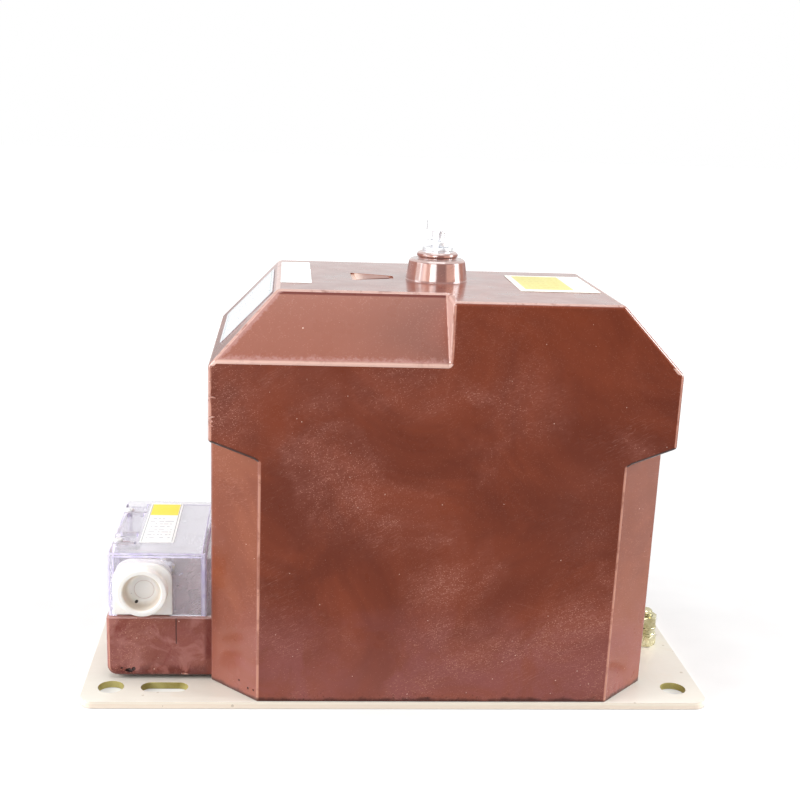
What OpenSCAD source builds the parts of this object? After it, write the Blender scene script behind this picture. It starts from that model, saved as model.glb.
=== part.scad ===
// Indoor voltage transformer with one high-voltage terminal, cast in epoxy resin.
// Millimetres, +Z up. The origin is the middle of the base plate's underside,
// +X runs towards the earth stud and -Y is the front.

/* [Base plate] */
// Thickness of the base plate
plate_t = 4; // [3:0.5:8]
// Length of plate that shows left of the terminal block
left_ledge = 12; // [6:0.5:30]
// Length of plate that shows right of the body
right_ledge = 33; // [30:0.5:60]
// Depth of plate that shows in front of and behind the body
side_ledge = 1; // [0.5:0.5:15]
// Radius of the plate's corners
plate_corner_r = 8; // [2:0.5:12]
// Diameter of the four fixing holes
fixing_hole_d = 14.5; // [9:0.5:16]
// Distance from the plate's ends to the fixing holes
fixing_inset_x = 15.5; // [12:0.5:18]
// Distance from the plate's long edges to the fixing holes
fixing_inset_y = 18; // [14:0.5:20]
// Length of the two slots beside the left fixing holes
slot_l = 26.5; // [20:0.5:30]
// Width of the two slots
slot_w = 11.5; // [9:0.5:14]
// Distance between a left fixing hole and its slot, centre to centre
slot_pitch = 30; // [28:0.5:34]

/* [Cast body] */
// Length of the cast body
body_l = 250; // [240:1:280]
// Depth of the cast body
body_w = 146; // [140:1:180]
// Height of the cast body above the plate
body_h = 226; // [215:1:280]
// Height of the cut corners of the lower body
lower_h = 138.5; // [120:0.5:150]
// Width of the cut corners of the lower body
corner_cut = 27; // [15:0.5:30]
// Rise of the head's underside over a cut corner
head_rise = 10.5; // [4:0.5:16]
// Length of the sloping face at the left end of the head
plate_slope_run = 35; // [25:0.5:42]
// Drop of the sloping face at the left end of the head
plate_slope_drop = 36; // [25:0.5:42]
// Length of the bevel at the right end of the head
end_bevel_run = 35; // [20:0.5:40]
// Drop of the bevel at the right end of the head
end_bevel_drop = 36.5; // [20:0.5:42]
// Depth of the two long slopes, one in front at the left and one behind at the right
long_slope_run = 28; // [15:0.5:32]
// Drop of the two long slopes
long_slope_drop = 33.5; // [20:0.5:40]
// Radius of the cast edges
edge_r = 2.5; // [1:0.5:4]

/* [High voltage terminal] */
// Distance of the terminal boss behind the middle of the body
boss_setback = 5; // [0:0.5:8]
// Diameter of the boss at its foot
boss_d = 35; // [32:0.5:42]
// Diameter of the boss at its shoulder
boss_shoulder_d = 32; // [30:0.5:32]
// Height of the boss up to its shoulder
boss_h = 12; // [8:0.5:20]
// Diameter of the neck above the shoulder
neck_d = 23; // [20:0.5:26]
// Height of the neck above the shoulder
neck_h = 4; // [2:0.5:8]
// Thread diameter of the terminal screw
hv_thread_d = 8; // [6:1:8]
// Depth of the brass insert that the screw goes into
hv_insert_l = 24; // [20:0.5:30]
// Length of bare screw between the washers and the head
hv_screw_gap = 5; // [1:0.5:8]
// Lean of the loose spring washer, in degrees
loose_washer_lean = 10; // [0:1:12]

/* [Terminal block] */
// Length of the block that stands out at the left end
block_l = 59; // [56:0.5:70]
// Depth of the block
block_w = 92; // [90:1:100]
// Height of the block
block_h = 37.2; // [34:0.1:45]
// Gap between the block and the plate
block_lift = 1.8; // [0.6:0.2:4]
// Distance between two secondary terminals
terminal_pitch = 13; // [12:0.5:14]
// Thread diameter of the secondary terminal screws
terminal_thread_d = 5; // [4:0.5:5]

/* [Terminal cover] */
// Height of the clear cover
cover_h = 37.5; // [34:0.5:60]
// Wall thickness of the clear cover
cover_wall = 2.6; // [2:0.2:3]
// Step between the block's left edge and the cover
cover_inset = 1.5; // [0.5:0.5:3]
// Air gap between the cover and the body
cover_gap = 2.3; // [1:0.1:3]
// Distance between the two cover screws
cover_screw_pitch = 53; // [44:1:56]
// Distance of the cover screws' middle behind the block's middle
cover_screw_shift = 5.5; // [0:0.5:7]
// Thread diameter of the cover screws
cover_thread_d = 3; // [2.5:0.5:3]
// Depth of the screw wells and the pocket in the cover's top
well_depth = 2.5; // [1:0.5:3]

/* [Cable gland] */
// Width of the rubber gland's front
gland_w = 33; // [30:0.5:36]
// Height of the rubber gland's front
gland_h = 30.5; // [29:0.5:33]
// Outer diameter of the gland's ring
gland_ring_d = 28; // [24:0.5:29]
// Inner diameter of the gland's ring at its rim
gland_mouth_d = 21.5; // [16:0.5:23]
// Length by which the ring stands out
gland_ring_l = 6.5; // [3:0.5:8]

/* [Core and windings] */
// Width of the core's steel strip
core_w = 40; // [34:1:42]
// Build of the wound core
core_t = 30; // [26:1:32]
// Length of the core's window
window_l = 124; // [110:1:126]
// Resin under the core
core_floor = 12; // [10:1:16]
// Resin between the core's lower limb and the windings
yoke_gap = 12; // [6:0.5:14]
// Wall of the coil former
former_wall = 2; // [1.5:0.25:2.5]
// Radial build of the secondary winding
secondary_t = 5.5; // [4:0.5:6]
// Radial build of the residual winding
residual_t = 4.5; // [3:0.5:5]
// Thickness of the insulation round the residual winding
main_insulation_t = 4; // [3:0.5:4.5]
// Radial build of the primary winding
primary_t = 17; // [12:0.5:18]
// Length of the primary winding at its inner layer
primary_l = 104; // [90:1:104]

/* [Earth terminal] */
// Distance from the plate's right end to the earth stud
earth_inset = 16; // [12:0.2:17]
// Distance of the earth stud behind the plate's middle
earth_setback = 6; // [0:0.5:8]
// Thread diameter of the earth stud
earth_thread_d = 8; // [6:1:8]
// Height of the earth stud above the plate
earth_stud_h = 23; // [22:0.5:30]

/* [Labels] */
// Thickness of the printed labels
label_t = 0.3; // [0.2:0.1:0.6]
// Width of the label on the cover
cover_label_w = 19.5; // [15:0.5:22]
// Length of the label on the cover
cover_label_l = 69; // [50:1:72]
// Width of the label beside the rating plate
left_label_w = 17; // [12:0.5:20]
// Length of the label beside the rating plate
left_label_l = 83; // [60:1:86]
// Width of the label beside the end bevel
right_label_w = 44; // [30:1:46]
// Length of the label beside the end bevel
right_label_l = 59; // [45:1:62]
// Width of the rating plate up the slope
rating_w = 40; // [30:1:42]
// Length of the rating plate along the slope
rating_l = 88; // [70:1:92]

/* [Hidden] */

$fn = 48;
// Flat steps in each rounded cast edge
edge_steps = 4;
// Overlap that joins or cuts solids cleanly
eps = 1;
// Clearance of a screw in its thread or hole, on the diameter
thread_play = 0.2;
// Clearance round what is cast into the resin or wound on another layer
wrap_gap = 0.15;
// Clearance between parts laid on one another
seat_gap = 0.05;

// Main positions
plate_l = left_ledge + block_l + body_l + right_ledge;
plate_w = body_w + 2 * side_ledge;
body_x = plate_l / 2 - right_ledge - body_l / 2;
body_left = body_x - body_l / 2;
body_right = body_x + body_l / 2;
body_top = plate_t + body_h;
lower_top = plate_t + lower_h;
fixing_x = plate_l / 2 - fixing_inset_x;
fixing_y = plate_w / 2 - fixing_inset_y;
slot_x = -fixing_x + slot_pitch;

// Block, cover and terminals
block_left = body_left - block_l;
block_base = plate_t + block_lift;
block_top = block_base + block_h;
block_foot_r = 6;
cover_left = block_left + cover_inset;
cover_right = body_left - cover_gap;
cover_base = block_top + seat_gap;
cover_top = cover_base + cover_h;
cover_w = block_w;
cover_edge_r = 2;
terminal_offset = 2;
terminal_x = (cover_left + cover_right) / 2 - terminal_offset;
terminal_count = 6;
terminal_ys = [for (i = [0 : terminal_count - 1]) (i - (terminal_count - 1) / 2) * terminal_pitch];
terminal_insert_l = 13;
terminal_insert_wall = 2;
terminal_insert_d = terminal_thread_d + 2 * terminal_insert_wall;
// Collar that keeps an insert from being pulled out
terminal_collar_wall = 1;
terminal_collar_t = 4;
terminal_collar_z = 2;
terminal_washer_d = 2 * terminal_thread_d;
terminal_washer_t = 1;
terminal_head_d = 1.8 * terminal_thread_d;
terminal_head_h = 0.65 * terminal_thread_d;
terminal_rise = 0.5;
terminal_seat = block_top + terminal_rise;
link_t = 1;

// Cover screws
cover_head_d = 5.6 / 3 * cover_thread_d;
cover_head_h = 2;
cover_screw_x = cover_left + cover_head_d / 2 + 0.2;
cover_screw_ys = [for (s = [-1, 1]) cover_screw_shift + s * cover_screw_pitch / 2];
cover_insert_d = cover_thread_d + 2;
cover_insert_l = 10;
cover_screw_reach = 8;
well_w = 14.5;
well_l = 14;
well_floor = cover_top - well_depth;
crown_t = well_depth + cover_wall;
post_w = 10;
post_l = 9.5;
pocket_l = 10.5;
pocket_rim = 3;

// Cable gland in the cover's front wall
gland_x = cover_left + 3 + gland_w / 2;
gland_z = block_top + 1.5;
gland_lip = 1.8;
gland_groove = 2;
// Height that the lip inside the cover stands over the lip in front
gland_inner_rise = 1;
gland_shoulder_r = 10.5;
foot_w = 2;
membrane_d = 13;
membrane_t = 1.2;
rib_h = 22;

// High voltage terminal
boss_y = boss_setback;
shoulder_z = body_top + boss_h;
neck_top = shoulder_z + neck_h;
mark_depth = 0.8;
boss_mark_gap = 7;
boss_corner = 1.4;
hv_insert_d = hv_thread_d + 6;
hv_flange_d = neck_d - 6;
hv_flange_t = 2;
hv_washer_d = neck_d - 5.6;
hv_washer_t = 2;
hv_spring_d = hv_thread_d * 1.6;
hv_spring_t = 2;
hv_seat = neck_top + 0.6;
hv_lean_lift = (hv_spring_d / 2) * sin(loose_washer_lean) + (hv_spring_t / 2) * cos(loose_washer_lean);
hv_spring_z = hv_seat + hv_washer_t + hv_lean_lift + 2 * seat_gap;
hv_head_z = hv_spring_z + hv_lean_lift + hv_screw_gap;
hv_hex = 1.625 * hv_thread_d;
hv_head_h = 0.69 * hv_thread_d;
hv_screw_end = neck_top - hv_insert_l + 8;
hv_lead_d = 2.6;
hv_lead_socket = 6;

// Core and windings
core_bottom = plate_t + core_floor;
core_inner_r = 3;
strip_gap = 0.3;
// Clearance of the wedges on the core, wide enough to part them at its corners
wedge_gap = 0.3;
bore_r = sqrt(pow(core_w / 2, 2) + pow(core_t / 2, 2)) + strip_gap;
former_r = bore_r + former_wall;
secondary_r = former_r + wrap_gap + secondary_t;
layer_t = 0.8;
layer_r = secondary_r + wrap_gap + layer_t;
residual_r = layer_r + wrap_gap + residual_t;
insulation_r = residual_r + wrap_gap + main_insulation_t;
primary_r = insulation_r + wrap_gap + primary_t;
screen_t = 0.6;
screen_r = primary_r + wrap_gap + screen_t;
axis_z = core_bottom + core_t + yoke_gap + screen_r;
former_end_gap = 2;
insulation_end_gap = 2;
screen_end_gap = 4;
former_l = window_l - 2 * former_end_gap;
flange_t = 3;
inner_wind_l = former_l - 2 * flange_t - 2 * wrap_gap;
insulation_l = former_l - 2 * insulation_end_gap;
primary_taper = 10;
screen_l = primary_l - 2 * primary_taper - 2 * screen_end_gap;
screen_slit = 4;
core_l = window_l + 2 * core_t;
core_h = axis_z + core_t / 2 - core_bottom;
core_mid_z = core_bottom + core_h / 2;
band_w = 20;
band_t = 0.6;

// Leads inside the resin
lead_d = 2.2;
// Space between a lead's end and the piece that it is joined to
lead_gap = 0.1;
flange_face_x = body_x - former_l / 2 - lead_gap;
// Heights of the leads under the coil's axis and over the terminal block's foot
lead_exit_drop = 12;
lead_low_rise = 16;
lead_run_rise = 16;
earth_lead_rise = 8;
// Space past the core's end, and the lead's run in its bend there
lead_core_gap = 12;
lead_bend_run = 4;
lead_z = axis_z - lead_exit_drop;
lead_drop_x = body_x - core_l / 2 - lead_core_gap;
lead_low_z = block_base + lead_low_rise;
earth_lead_z = block_base + earth_lead_rise;
lead_run_z = lead_low_z + lead_run_rise;
insert_foot_z = terminal_seat - terminal_insert_l;
secondary_lead_y = former_r + wrap_gap + secondary_t / 2 - 2;
residual_lead_y = layer_r + wrap_gap + residual_t / 2 - 1;
neutral_r = insulation_r + wrap_gap + lead_d;
neutral_lead_y = sqrt(pow(neutral_r, 2) - pow(axis_z - lead_z, 2));
neutral_x = body_x - primary_l / 2 - lead_gap
    + primary_taper * (neutral_r - lead_d / 2 - insulation_r) / primary_t;

// Base fixings
base_screw_inset_x = 30;
base_screw_inset_y = 28;
base_screw_x = body_l / 2 - base_screw_inset_x;
base_screw_y = body_w / 2 - base_screw_inset_y;
base_thread_d = 6;
base_insert_d = 11;
base_insert_l = 18;
base_screw_l = 16;
csk_d = 2 * base_thread_d - 0.4;
csk_h = (csk_d - base_thread_d) / 2;
csk_sink = 0.3;

// Earth terminal
earth_x = plate_l / 2 - earth_inset;
earth_y = earth_setback;
earth_hex = 1.625 * earth_thread_d;
earth_nut_h = 0.85 * earth_thread_d;
earth_washer_d = 1.75 * earth_thread_d;
earth_washer_t = 1.6;
earth_spring_d = 1.6 * earth_thread_d;
earth_spring_t = 2.4;
earth_foot_d = earth_thread_d + 5;
earth_foot_t = 1.6;
earth_clamp_z = plate_t + seat_gap;
earth_washer_1 = earth_clamp_z + earth_nut_h + seat_gap;
earth_spring_z = earth_washer_1 + earth_washer_t + seat_gap;
earth_washer_2 = earth_spring_z + earth_spring_t + seat_gap;
earth_nut_z = earth_washer_2 + earth_washer_t + seat_gap;

// Labels
rating_t = 0.5;
left_label_edge = 1.5;
left_label_inset = 12;
right_label_edge = 3.5;
right_label_shift = 3.5;

// Colours
resin = [0.47, 0.21, 0.16];
ivory = [0.93, 0.91, 0.85];
zinc = [0.82, 0.80, 0.55];
nickel = [0.86, 0.86, 0.87];
brass = [0.78, 0.63, 0.30];
copper = [0.75, 0.42, 0.25];
steel_strip = [0.45, 0.46, 0.48];
rubber_cream = [0.95, 0.92, 0.84];
label_white = [0.96, 0.96, 0.95];

// Points of a rounded corner at b, between the sides towards a and c
function unit(v) = v / norm(v);
function corner_arc(a, b, c, r, n) =
    let (u = unit(a - b), v = unit(c - b), half = acos(u * v) / 2,
        middle = b + unit(u + v) * r / sin(half),
        p = b + u * r / tan(half) - middle, q = b + v * r / tan(half) - middle,
        start = atan2(p[1], p[0]), turn = atan2(q[1], q[0]) - start,
        sweep = turn > 180 ? turn - 360 : turn < -180 ? turn + 360 : turn)
    [for (i = [0 : n]) middle + r * [cos(start + sweep * i / n), sin(start + sweep * i / n)]];

// Outline with its corners rounded by the radii in rs; a radius of 0 keeps a corner sharp
function rounded(pts, rs, n = edge_steps) =
    let (k = len(pts))
    [for (i = [0 : k - 1])
        each (rs[i] == 0 ? [pts[i]]
            : corner_arc(pts[(i + k - 1) % k], pts[i], pts[(i + 1) % k], rs[i], n))];

function box_pts(x0, y0, x1, y1) = [[x0, y0], [x1, y0], [x1, y1], [x0, y1]];
function all_r(pts, r) = [for (p = pts) r];

// Extrusion of an X-Z outline over a depth centred on y
module along_y(depth, y = 0) {
    translate([0, y + depth / 2, 0]) rotate([90, 0, 0]) linear_extrude(depth) children();
}

// Extrusion of a Y-Z outline from x0 to x1
module along_x(x0, x1) {
    translate([x0, 0, 0]) rotate([90, 0, 90]) linear_extrude(x1 - x0) children();
}

// Straight rod of diameter d from a to b
module rod(a, b, d) {
    v = b - a;
    translate(a) rotate([0, acos(v[2] / norm(v)), atan2(v[1], v[0])])
        cylinder(d = d, h = norm(v), $fn = 24);
}

// Rod with a round end at b
module leg(a, b, d) {
    rod(a, b, d);
    translate(b) sphere(d = 1.1 * d, $fn = 24);
}

// Wire through the points of a path, with its bends filled
module wire(path, d) {
    last = len(path) - 1;
    for (i = [0 : last - 2]) leg(path[i], path[i + 1], d);
    rod(path[last - 1], path[last], d);
}

module hexagon(across_flats, h) {
    cylinder(d = across_flats / cos(30), h = h, $fn = 6);
}

module ring(od, bore, h) {
    difference() {
        cylinder(d = od, h = h);
        translate([0, 0, -eps]) cylinder(d = bore, h = h + 2 * eps);
    }
}

// Spring washer: a ring cut through on one side
module split_ring(od, bore, h) {
    difference() {
        ring(od, bore, h);
        rotate([0, 0, 35]) translate([0, -0.6, -eps]) cube([od, 1.2, h + 2 * eps]);
    }
}

// Hexagon nut with chamfered corners
module hex_nut(across_flats, bore, h) {
    difference() {
        intersection() {
            hexagon(across_flats, h);
            rotate_extrude() polygon([[0, 0], [across_flats / 2, 0],
                [across_flats / 2 + 1.4, 0.8], [across_flats / 2 + 1.4, h - 0.8],
                [across_flats / 2, h], [0, h]]);
        }
        translate([0, 0, -eps]) cylinder(d = bore, h = h + 2 * eps);
    }
}

module at_fixings() {
    for (x = [-1, 1], y = [-1, 1]) translate([x * fixing_x, y * fixing_y, 0]) children();
}

module at_base_screws() {
    for (x = [-1, 1], y = [-1, 1])
        translate([body_x + x * base_screw_x, y * base_screw_y, 0]) children();
}

module at_terminals() {
    for (y = terminal_ys) translate([terminal_x, y, 0]) children();
}

module at_cover_screws() {
    for (y = cover_screw_ys) translate([cover_screw_x, y, 0]) children();
}

module base_plate() {
    outline = box_pts(-plate_l / 2, -plate_w / 2, plate_l / 2, plate_w / 2);
    color(ivory) difference() {
        linear_extrude(plate_t) polygon(rounded(outline, all_r(outline, plate_corner_r), 6));
        at_fixings() translate([0, 0, -eps]) cylinder(d = fixing_hole_d, h = plate_t + 2 * eps);
        for (y = [-1, 1]) translate([slot_x, y * fixing_y, -eps]) {
            for (x = [-1, 1]) translate([x * (slot_l - slot_w) / 2, 0, 0])
                cylinder(d = slot_w, h = plate_t + 2 * eps);
            translate([-(slot_l - slot_w) / 2, -slot_w / 2, 0])
                cube([slot_l - slot_w, slot_w, plate_t + 2 * eps]);
        }
        at_base_screws() {
            translate([0, 0, -eps]) cylinder(d = base_thread_d + 0.6, h = plate_t + 2 * eps);
            translate([0, 0, -eps]) cylinder(d = csk_d + 0.4, h = csk_sink + eps);
            translate([0, 0, csk_sink])
                cylinder(d1 = csk_d + 0.4, d2 = base_thread_d + 0.4, h = csk_h);
        }
        translate([earth_x, earth_y, -eps]) {
            cylinder(d = earth_thread_d + thread_play, h = plate_t + 2 * eps);
            cylinder(d = earth_foot_d + thread_play, h = earth_foot_t + seat_gap + eps);
        }
    }
}

// Outside of the casting

module lower_body() {
    x0 = body_left;
    x1 = body_right;
    y = body_w / 2;
    c = corner_cut;
    outline = [[x0 + c, -y], [x1 - c, -y], [x1, -y + c], [x1, y - c],
        [x1 - c, y], [x0 + c, y], [x0, y - c], [x0, -y + c]];
    translate([0, 0, plate_t]) linear_extrude(lower_h + head_rise + eps)
        polygon(rounded(outline, all_r(outline, edge_r), 3));
}

module head() {
    c = corner_cut;
    side = [[body_left + c, lower_top], [body_left, lower_top + head_rise],
        [body_left, body_top - plate_slope_drop], [body_left + plate_slope_run, body_top],
        [body_right - end_bevel_run, body_top], [body_right, body_top - end_bevel_drop],
        [body_right, lower_top + head_rise], [body_right - c, lower_top]];
    plan = box_pts(body_left, -body_w / 2, body_right, body_w / 2);
    end = box_pts(-body_w / 2, lower_top - eps, body_w / 2, body_top);
    intersection() {
        along_y(body_w) polygon(rounded(side, [0, edge_r, edge_r, edge_r, edge_r, edge_r, edge_r, 0]));
        translate([0, 0, lower_top - eps]) linear_extrude(body_top - lower_top + 2 * eps)
            polygon(rounded(plan, all_r(plan, edge_r)));
        along_x(body_left - eps, body_right + eps)
            polygon(rounded(end, [0, 0, edge_r, edge_r]));
    }
}

// Wedge that takes the long slope off the front edge, left of the body's middle
module long_slope() {
    foot = [-body_w / 2, body_top - long_slope_drop];
    rim = [-body_w / 2 + long_slope_run, body_top];
    past = (rim - foot) * 0.4;
    translate([body_x, 0, 0]) along_x(-body_l / 2 - eps, 0)
        polygon([foot - past, rim + past, foot - past + [0, long_slope_drop * 2]]);
}

module boss() {
    r = boss_d / 2;
    rs = boss_shoulder_d / 2;
    rn = neck_d / 2;
    outline = [[0, -3], [r, -3], [r, 0.6], [rs, boss_h - boss_corner],
        [rs - boss_corner, boss_h], [rn - 0.9, boss_h],
        [rn - 0.9, boss_h + 0.8], [rn, boss_h + 1.4], [rn, boss_h + neck_h - 1],
        [rn - 1, boss_h + neck_h], [0, boss_h + neck_h]];
    translate([body_x, boss_y, body_top]) rotate_extrude() polygon(outline);
}

module terminal_block() {
    side = box_pts(block_left, block_base, body_left + corner_cut / 2, block_top);
    plan = box_pts(block_left, -block_w / 2, body_left + corner_cut / 2, block_w / 2);
    intersection() {
        along_y(block_w) polygon(rounded(side, [block_foot_r, 0, 0, edge_r]));
        translate([0, 0, block_base]) linear_extrude(block_h)
            polygon(rounded(plan, [edge_r, 0, 0, edge_r]));
    }
}

// Shallow groove cast into the top, a plain tapered outline with its narrow end to the boss
module cast_mark() {
    groove = 2.2;
    wide = 14;
    narrow = 5;
    length = 24;
    tip = body_x - boss_d / 2 - boss_mark_gap;
    outer = [[tip - length, -wide], [tip, -narrow], [tip, narrow], [tip - length, wide]];
    inner = [[tip - length + groove, -wide + groove], [tip - groove, -narrow + groove],
        [tip - groove, narrow - groove], [tip - length + groove, wide - groove]];
    translate([0, boss_y + 4, body_top - mark_depth]) linear_extrude(mark_depth + eps) difference() {
        polygon(rounded(outer, [1.5, 3.5, 3.5, 1.5], 5));
        polygon(rounded(inner, [0.6, 1.5, 1.5, 0.6], 5));
    }
}

// Space inside the casting

module core_outline(g = 0) {
    x = core_l / 2 + g;
    z0 = core_bottom - g;
    z1 = core_bottom + core_h + g;
    outline = box_pts(body_x - x, z0, body_x + x, z1);
    polygon(rounded(outline, all_r(outline, core_inner_r + core_t + g), 6));
}

module core_window(g = 0) {
    x = window_l / 2 - g;
    outline = box_pts(body_x - x, core_bottom + core_t + g, body_x + x, axis_z - core_t / 2 - g);
    polygon(rounded(outline, all_r(outline, core_inner_r), 3));
}

module core_ring(g = 0) {
    difference() {
        along_y(core_w + 2 * g) core_outline(g);
        along_y(core_w + 2 * g + 2 * eps) core_window(g);
    }
}

// Everything wound on the former, as one turned solid on the axis of the coils
module coil_envelope(g = wrap_gap) {
    p = primary_l / 2;
    translate([body_x, 0, axis_z]) rotate([0, 90, 0]) rotate_extrude()
        polygon([[0, -former_l / 2 - g], [residual_r + g, -former_l / 2 - g],
            [residual_r + g, -insulation_l / 2 - g], [insulation_r + g, -insulation_l / 2 - g],
            [insulation_r + g, -p - g], [primary_r + g, -p + primary_taper - g],
            [screen_r + g, -p + primary_taper - g], [screen_r + g, p - primary_taper + g],
            [primary_r + g, p - primary_taper + g], [insulation_r + g, p + g],
            [insulation_r + g, insulation_l / 2 + g], [residual_r + g, insulation_l / 2 + g],
            [residual_r + g, former_l / 2 + g], [0, former_l / 2 + g]]);
}

// Turned sleeve on the axis of the coils
module sleeve(r_in, r_out, l) {
    translate([body_x - l / 2, 0, axis_z]) rotate([0, 90, 0]) difference() {
        cylinder(r = r_out, h = l, $fn = 96);
        translate([0, 0, -eps]) cylinder(r = r_in, h = l + 2 * eps, $fn = 96);
    }
}

// Route of a lead from the winding's end y at x to terminal number i
function lead_path(x, y, i) = [
    [x, y, lead_z], [lead_drop_x, y, lead_z], [lead_drop_x - lead_bend_run, y, lead_run_z],
    [terminal_x, terminal_ys[i], lead_low_z],
    [terminal_x, terminal_ys[i], insert_foot_z - lead_gap]];

winding_paths = [
    lead_path(flange_face_x, -residual_lead_y, 0),
    lead_path(flange_face_x, -secondary_lead_y, 1),
    lead_path(flange_face_x, secondary_lead_y, 2),
    lead_path(flange_face_x, residual_lead_y, 3)];
neutral_path = lead_path(neutral_x, neutral_lead_y, 4);
earth_path = [
    [terminal_x, terminal_ys[5], insert_foot_z - lead_gap],
    [terminal_x, terminal_ys[5], earth_lead_z],
    [body_x - base_screw_x - base_insert_d / 2 - 2 * lead_gap, base_screw_y, earth_lead_z]];

module hv_insert_form(g = 0) {
    translate([body_x, boss_y, 0]) {
        translate([0, 0, neck_top - hv_insert_l - g])
            cylinder(d = hv_insert_d + 2 * g, h = hv_insert_l + 2 * g);
        translate([0, 0, neck_top - hv_flange_t + 0.6 - g])
            cylinder(d = hv_flange_d + 2 * g, h = hv_flange_t + 2 * g);
        translate([0, 0, neck_top - hv_insert_l + 4 - g])
            cylinder(d = hv_insert_d + 3 + 2 * g, h = 5 + 2 * g);
    }
}

module hv_lead_form(g = 0) {
    translate([body_x, boss_y, axis_z + screen_r + seat_gap])
        cylinder(d = hv_lead_d + 2 * g,
            h = neck_top - hv_insert_l + hv_lead_socket - 0.5 - axis_z - screen_r - seat_gap);
}

module terminal_insert_form(g = 0) {
    translate([0, 0, insert_foot_z - g]) {
        cylinder(d = terminal_insert_d + 2 * g, h = terminal_insert_l + 2 * g);
        translate([0, 0, terminal_collar_z])
            cylinder(d = terminal_insert_d + 2 * terminal_collar_wall + 2 * g,
                h = terminal_collar_t + 2 * g);
    }
}

module cast_in() {
    core_ring(wrap_gap);
    band_form(wrap_gap);
    coil_envelope();
    for (path = winding_paths) wire(path, lead_d + 2 * wrap_gap);
    wire(neutral_path, lead_d + 2 * wrap_gap);
    wire(earth_path, lead_d + 2 * wrap_gap);
    hv_insert_form(wrap_gap);
    hv_lead_form(wrap_gap);
    at_terminals() terminal_insert_form(wrap_gap);
    at_cover_screws() translate([0, 0, block_top - cover_insert_l - wrap_gap])
        cylinder(d = cover_insert_d + 2 * wrap_gap, h = cover_insert_l + wrap_gap + eps);
    at_base_screws() translate([0, 0, plate_t - eps])
        cylinder(d = base_insert_d + 2 * wrap_gap, h = base_insert_l + wrap_gap + eps);
}

module cast_body() {
    color(resin) difference() {
        union() {
            difference() {
                union() {
                    lower_body();
                    head();
                }
                long_slope();
                translate([body_x, 0, 0]) rotate([0, 0, 180]) translate([-body_x, 0, 0])
                    long_slope();
                cast_mark();
            }
            boss();
            terminal_block();
        }
        cast_in();
    }
}

// Core and windings

module core_left() {
    color(steel_strip) intersection() {
        core_ring();
        translate([body_x - core_l, -core_w, 0]) cube([core_l, 2 * core_w, body_top]);
    }
}

module core_right() {
    color(steel_strip) intersection() {
        core_ring();
        translate([body_x, -core_w, 0]) cube([core_l, 2 * core_w, body_top]);
    }
}

// Steel band that holds the core halves together
module band_form(g = 0) {
    difference() {
        along_y(band_w + 2 * g) core_outline(seat_gap + band_t + g);
        along_y(band_w + 2 * g + 2 * eps) core_outline(seat_gap - g);
    }
}

module core_band() {
    color([0.60, 0.61, 0.63]) band_form();
}

// Pressboard wedges that fill the round bore of the former beside the core
module core_wedges() {
    l = former_l - 2 * core_inner_r;
    color([0.72, 0.58, 0.38]) difference() {
        translate([body_x - l / 2, 0, axis_z]) rotate([0, 90, 0])
            cylinder(r = bore_r - wrap_gap, h = l, $fn = 96);
        translate([body_x - l, -core_w / 2 - wedge_gap, axis_z - core_t / 2 - wedge_gap])
            cube([2 * l, core_w + 2 * wedge_gap, core_t + 2 * wedge_gap]);
        translate([body_x - l, -band_w / 2 - wedge_gap, axis_z])
            cube([2 * l, band_w + 2 * wedge_gap, core_t / 2 + band_t + 2 * wedge_gap]);
    }
}

module coil_former() {
    color([0.85, 0.78, 0.60]) union() {
        sleeve(bore_r, former_r, former_l);
        for (s = [-1, 1]) translate([s * (former_l - flange_t) / 2, 0, 0])
            sleeve(former_r - eps, residual_r, flange_t);
    }
}

module secondary_winding() {
    color(copper) sleeve(former_r + wrap_gap, secondary_r, inner_wind_l);
}

module layer_insulation() {
    color([0.93, 0.90, 0.78]) sleeve(secondary_r + wrap_gap, layer_r, inner_wind_l);
}

module residual_winding() {
    color([0.80, 0.48, 0.28]) sleeve(layer_r + wrap_gap, residual_r, inner_wind_l);
}

module main_insulation() {
    color([0.88, 0.83, 0.68]) sleeve(residual_r + wrap_gap, insulation_r, insulation_l);
}

module primary_winding() {
    p = primary_l / 2;
    color([0.66, 0.33, 0.19]) translate([body_x, 0, axis_z]) rotate([0, 90, 0])
        rotate_extrude($fn = 96)
            polygon([[insulation_r + wrap_gap, -p], [primary_r, -p + primary_taper],
                [primary_r, p - primary_taper], [insulation_r + wrap_gap, p]]);
}

// Screen of thin foil round the last layer, open along its lower side
module hv_screen() {
    color([0.82, 0.55, 0.35]) difference() {
        sleeve(primary_r + wrap_gap, screen_r, screen_l);
        translate([body_x - screen_l, -screen_slit / 2, axis_z - screen_r - eps])
            cube([2 * screen_l, screen_slit, screen_t + 3 * eps]);
    }
}

module hv_lead() {
    color(copper) hv_lead_form();
}

module winding_leads() {
    color([0.72, 0.30, 0.22]) for (path = winding_paths) wire(path, lead_d);
}

module neutral_lead() {
    color([0.20, 0.32, 0.55]) wire(neutral_path, lead_d);
}

module earth_lead() {
    color([0.45, 0.60, 0.25]) wire(earth_path, lead_d);
}

// High voltage terminal

module hv_insert() {
    color(nickel) difference() {
        hv_insert_form();
        translate([body_x, boss_y, hv_screw_end - 2])
            cylinder(d = hv_thread_d + thread_play, h = hv_insert_l);
        translate([body_x, boss_y, neck_top - hv_insert_l - eps])
            cylinder(d = hv_lead_d + thread_play, h = hv_lead_socket + eps);
    }
}

module hv_flat_washer() {
    color(nickel) translate([body_x, boss_y, hv_seat + seat_gap])
        ring(hv_washer_d, hv_thread_d + 0.6, hv_washer_t);
}

module hv_spring_washer() {
    color(nickel) translate([body_x, boss_y, hv_spring_z])
        rotate([0, loose_washer_lean, 0]) translate([0, 0, -hv_spring_t / 2])
            split_ring(hv_spring_d, hv_thread_d + 1, hv_spring_t);
}

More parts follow.
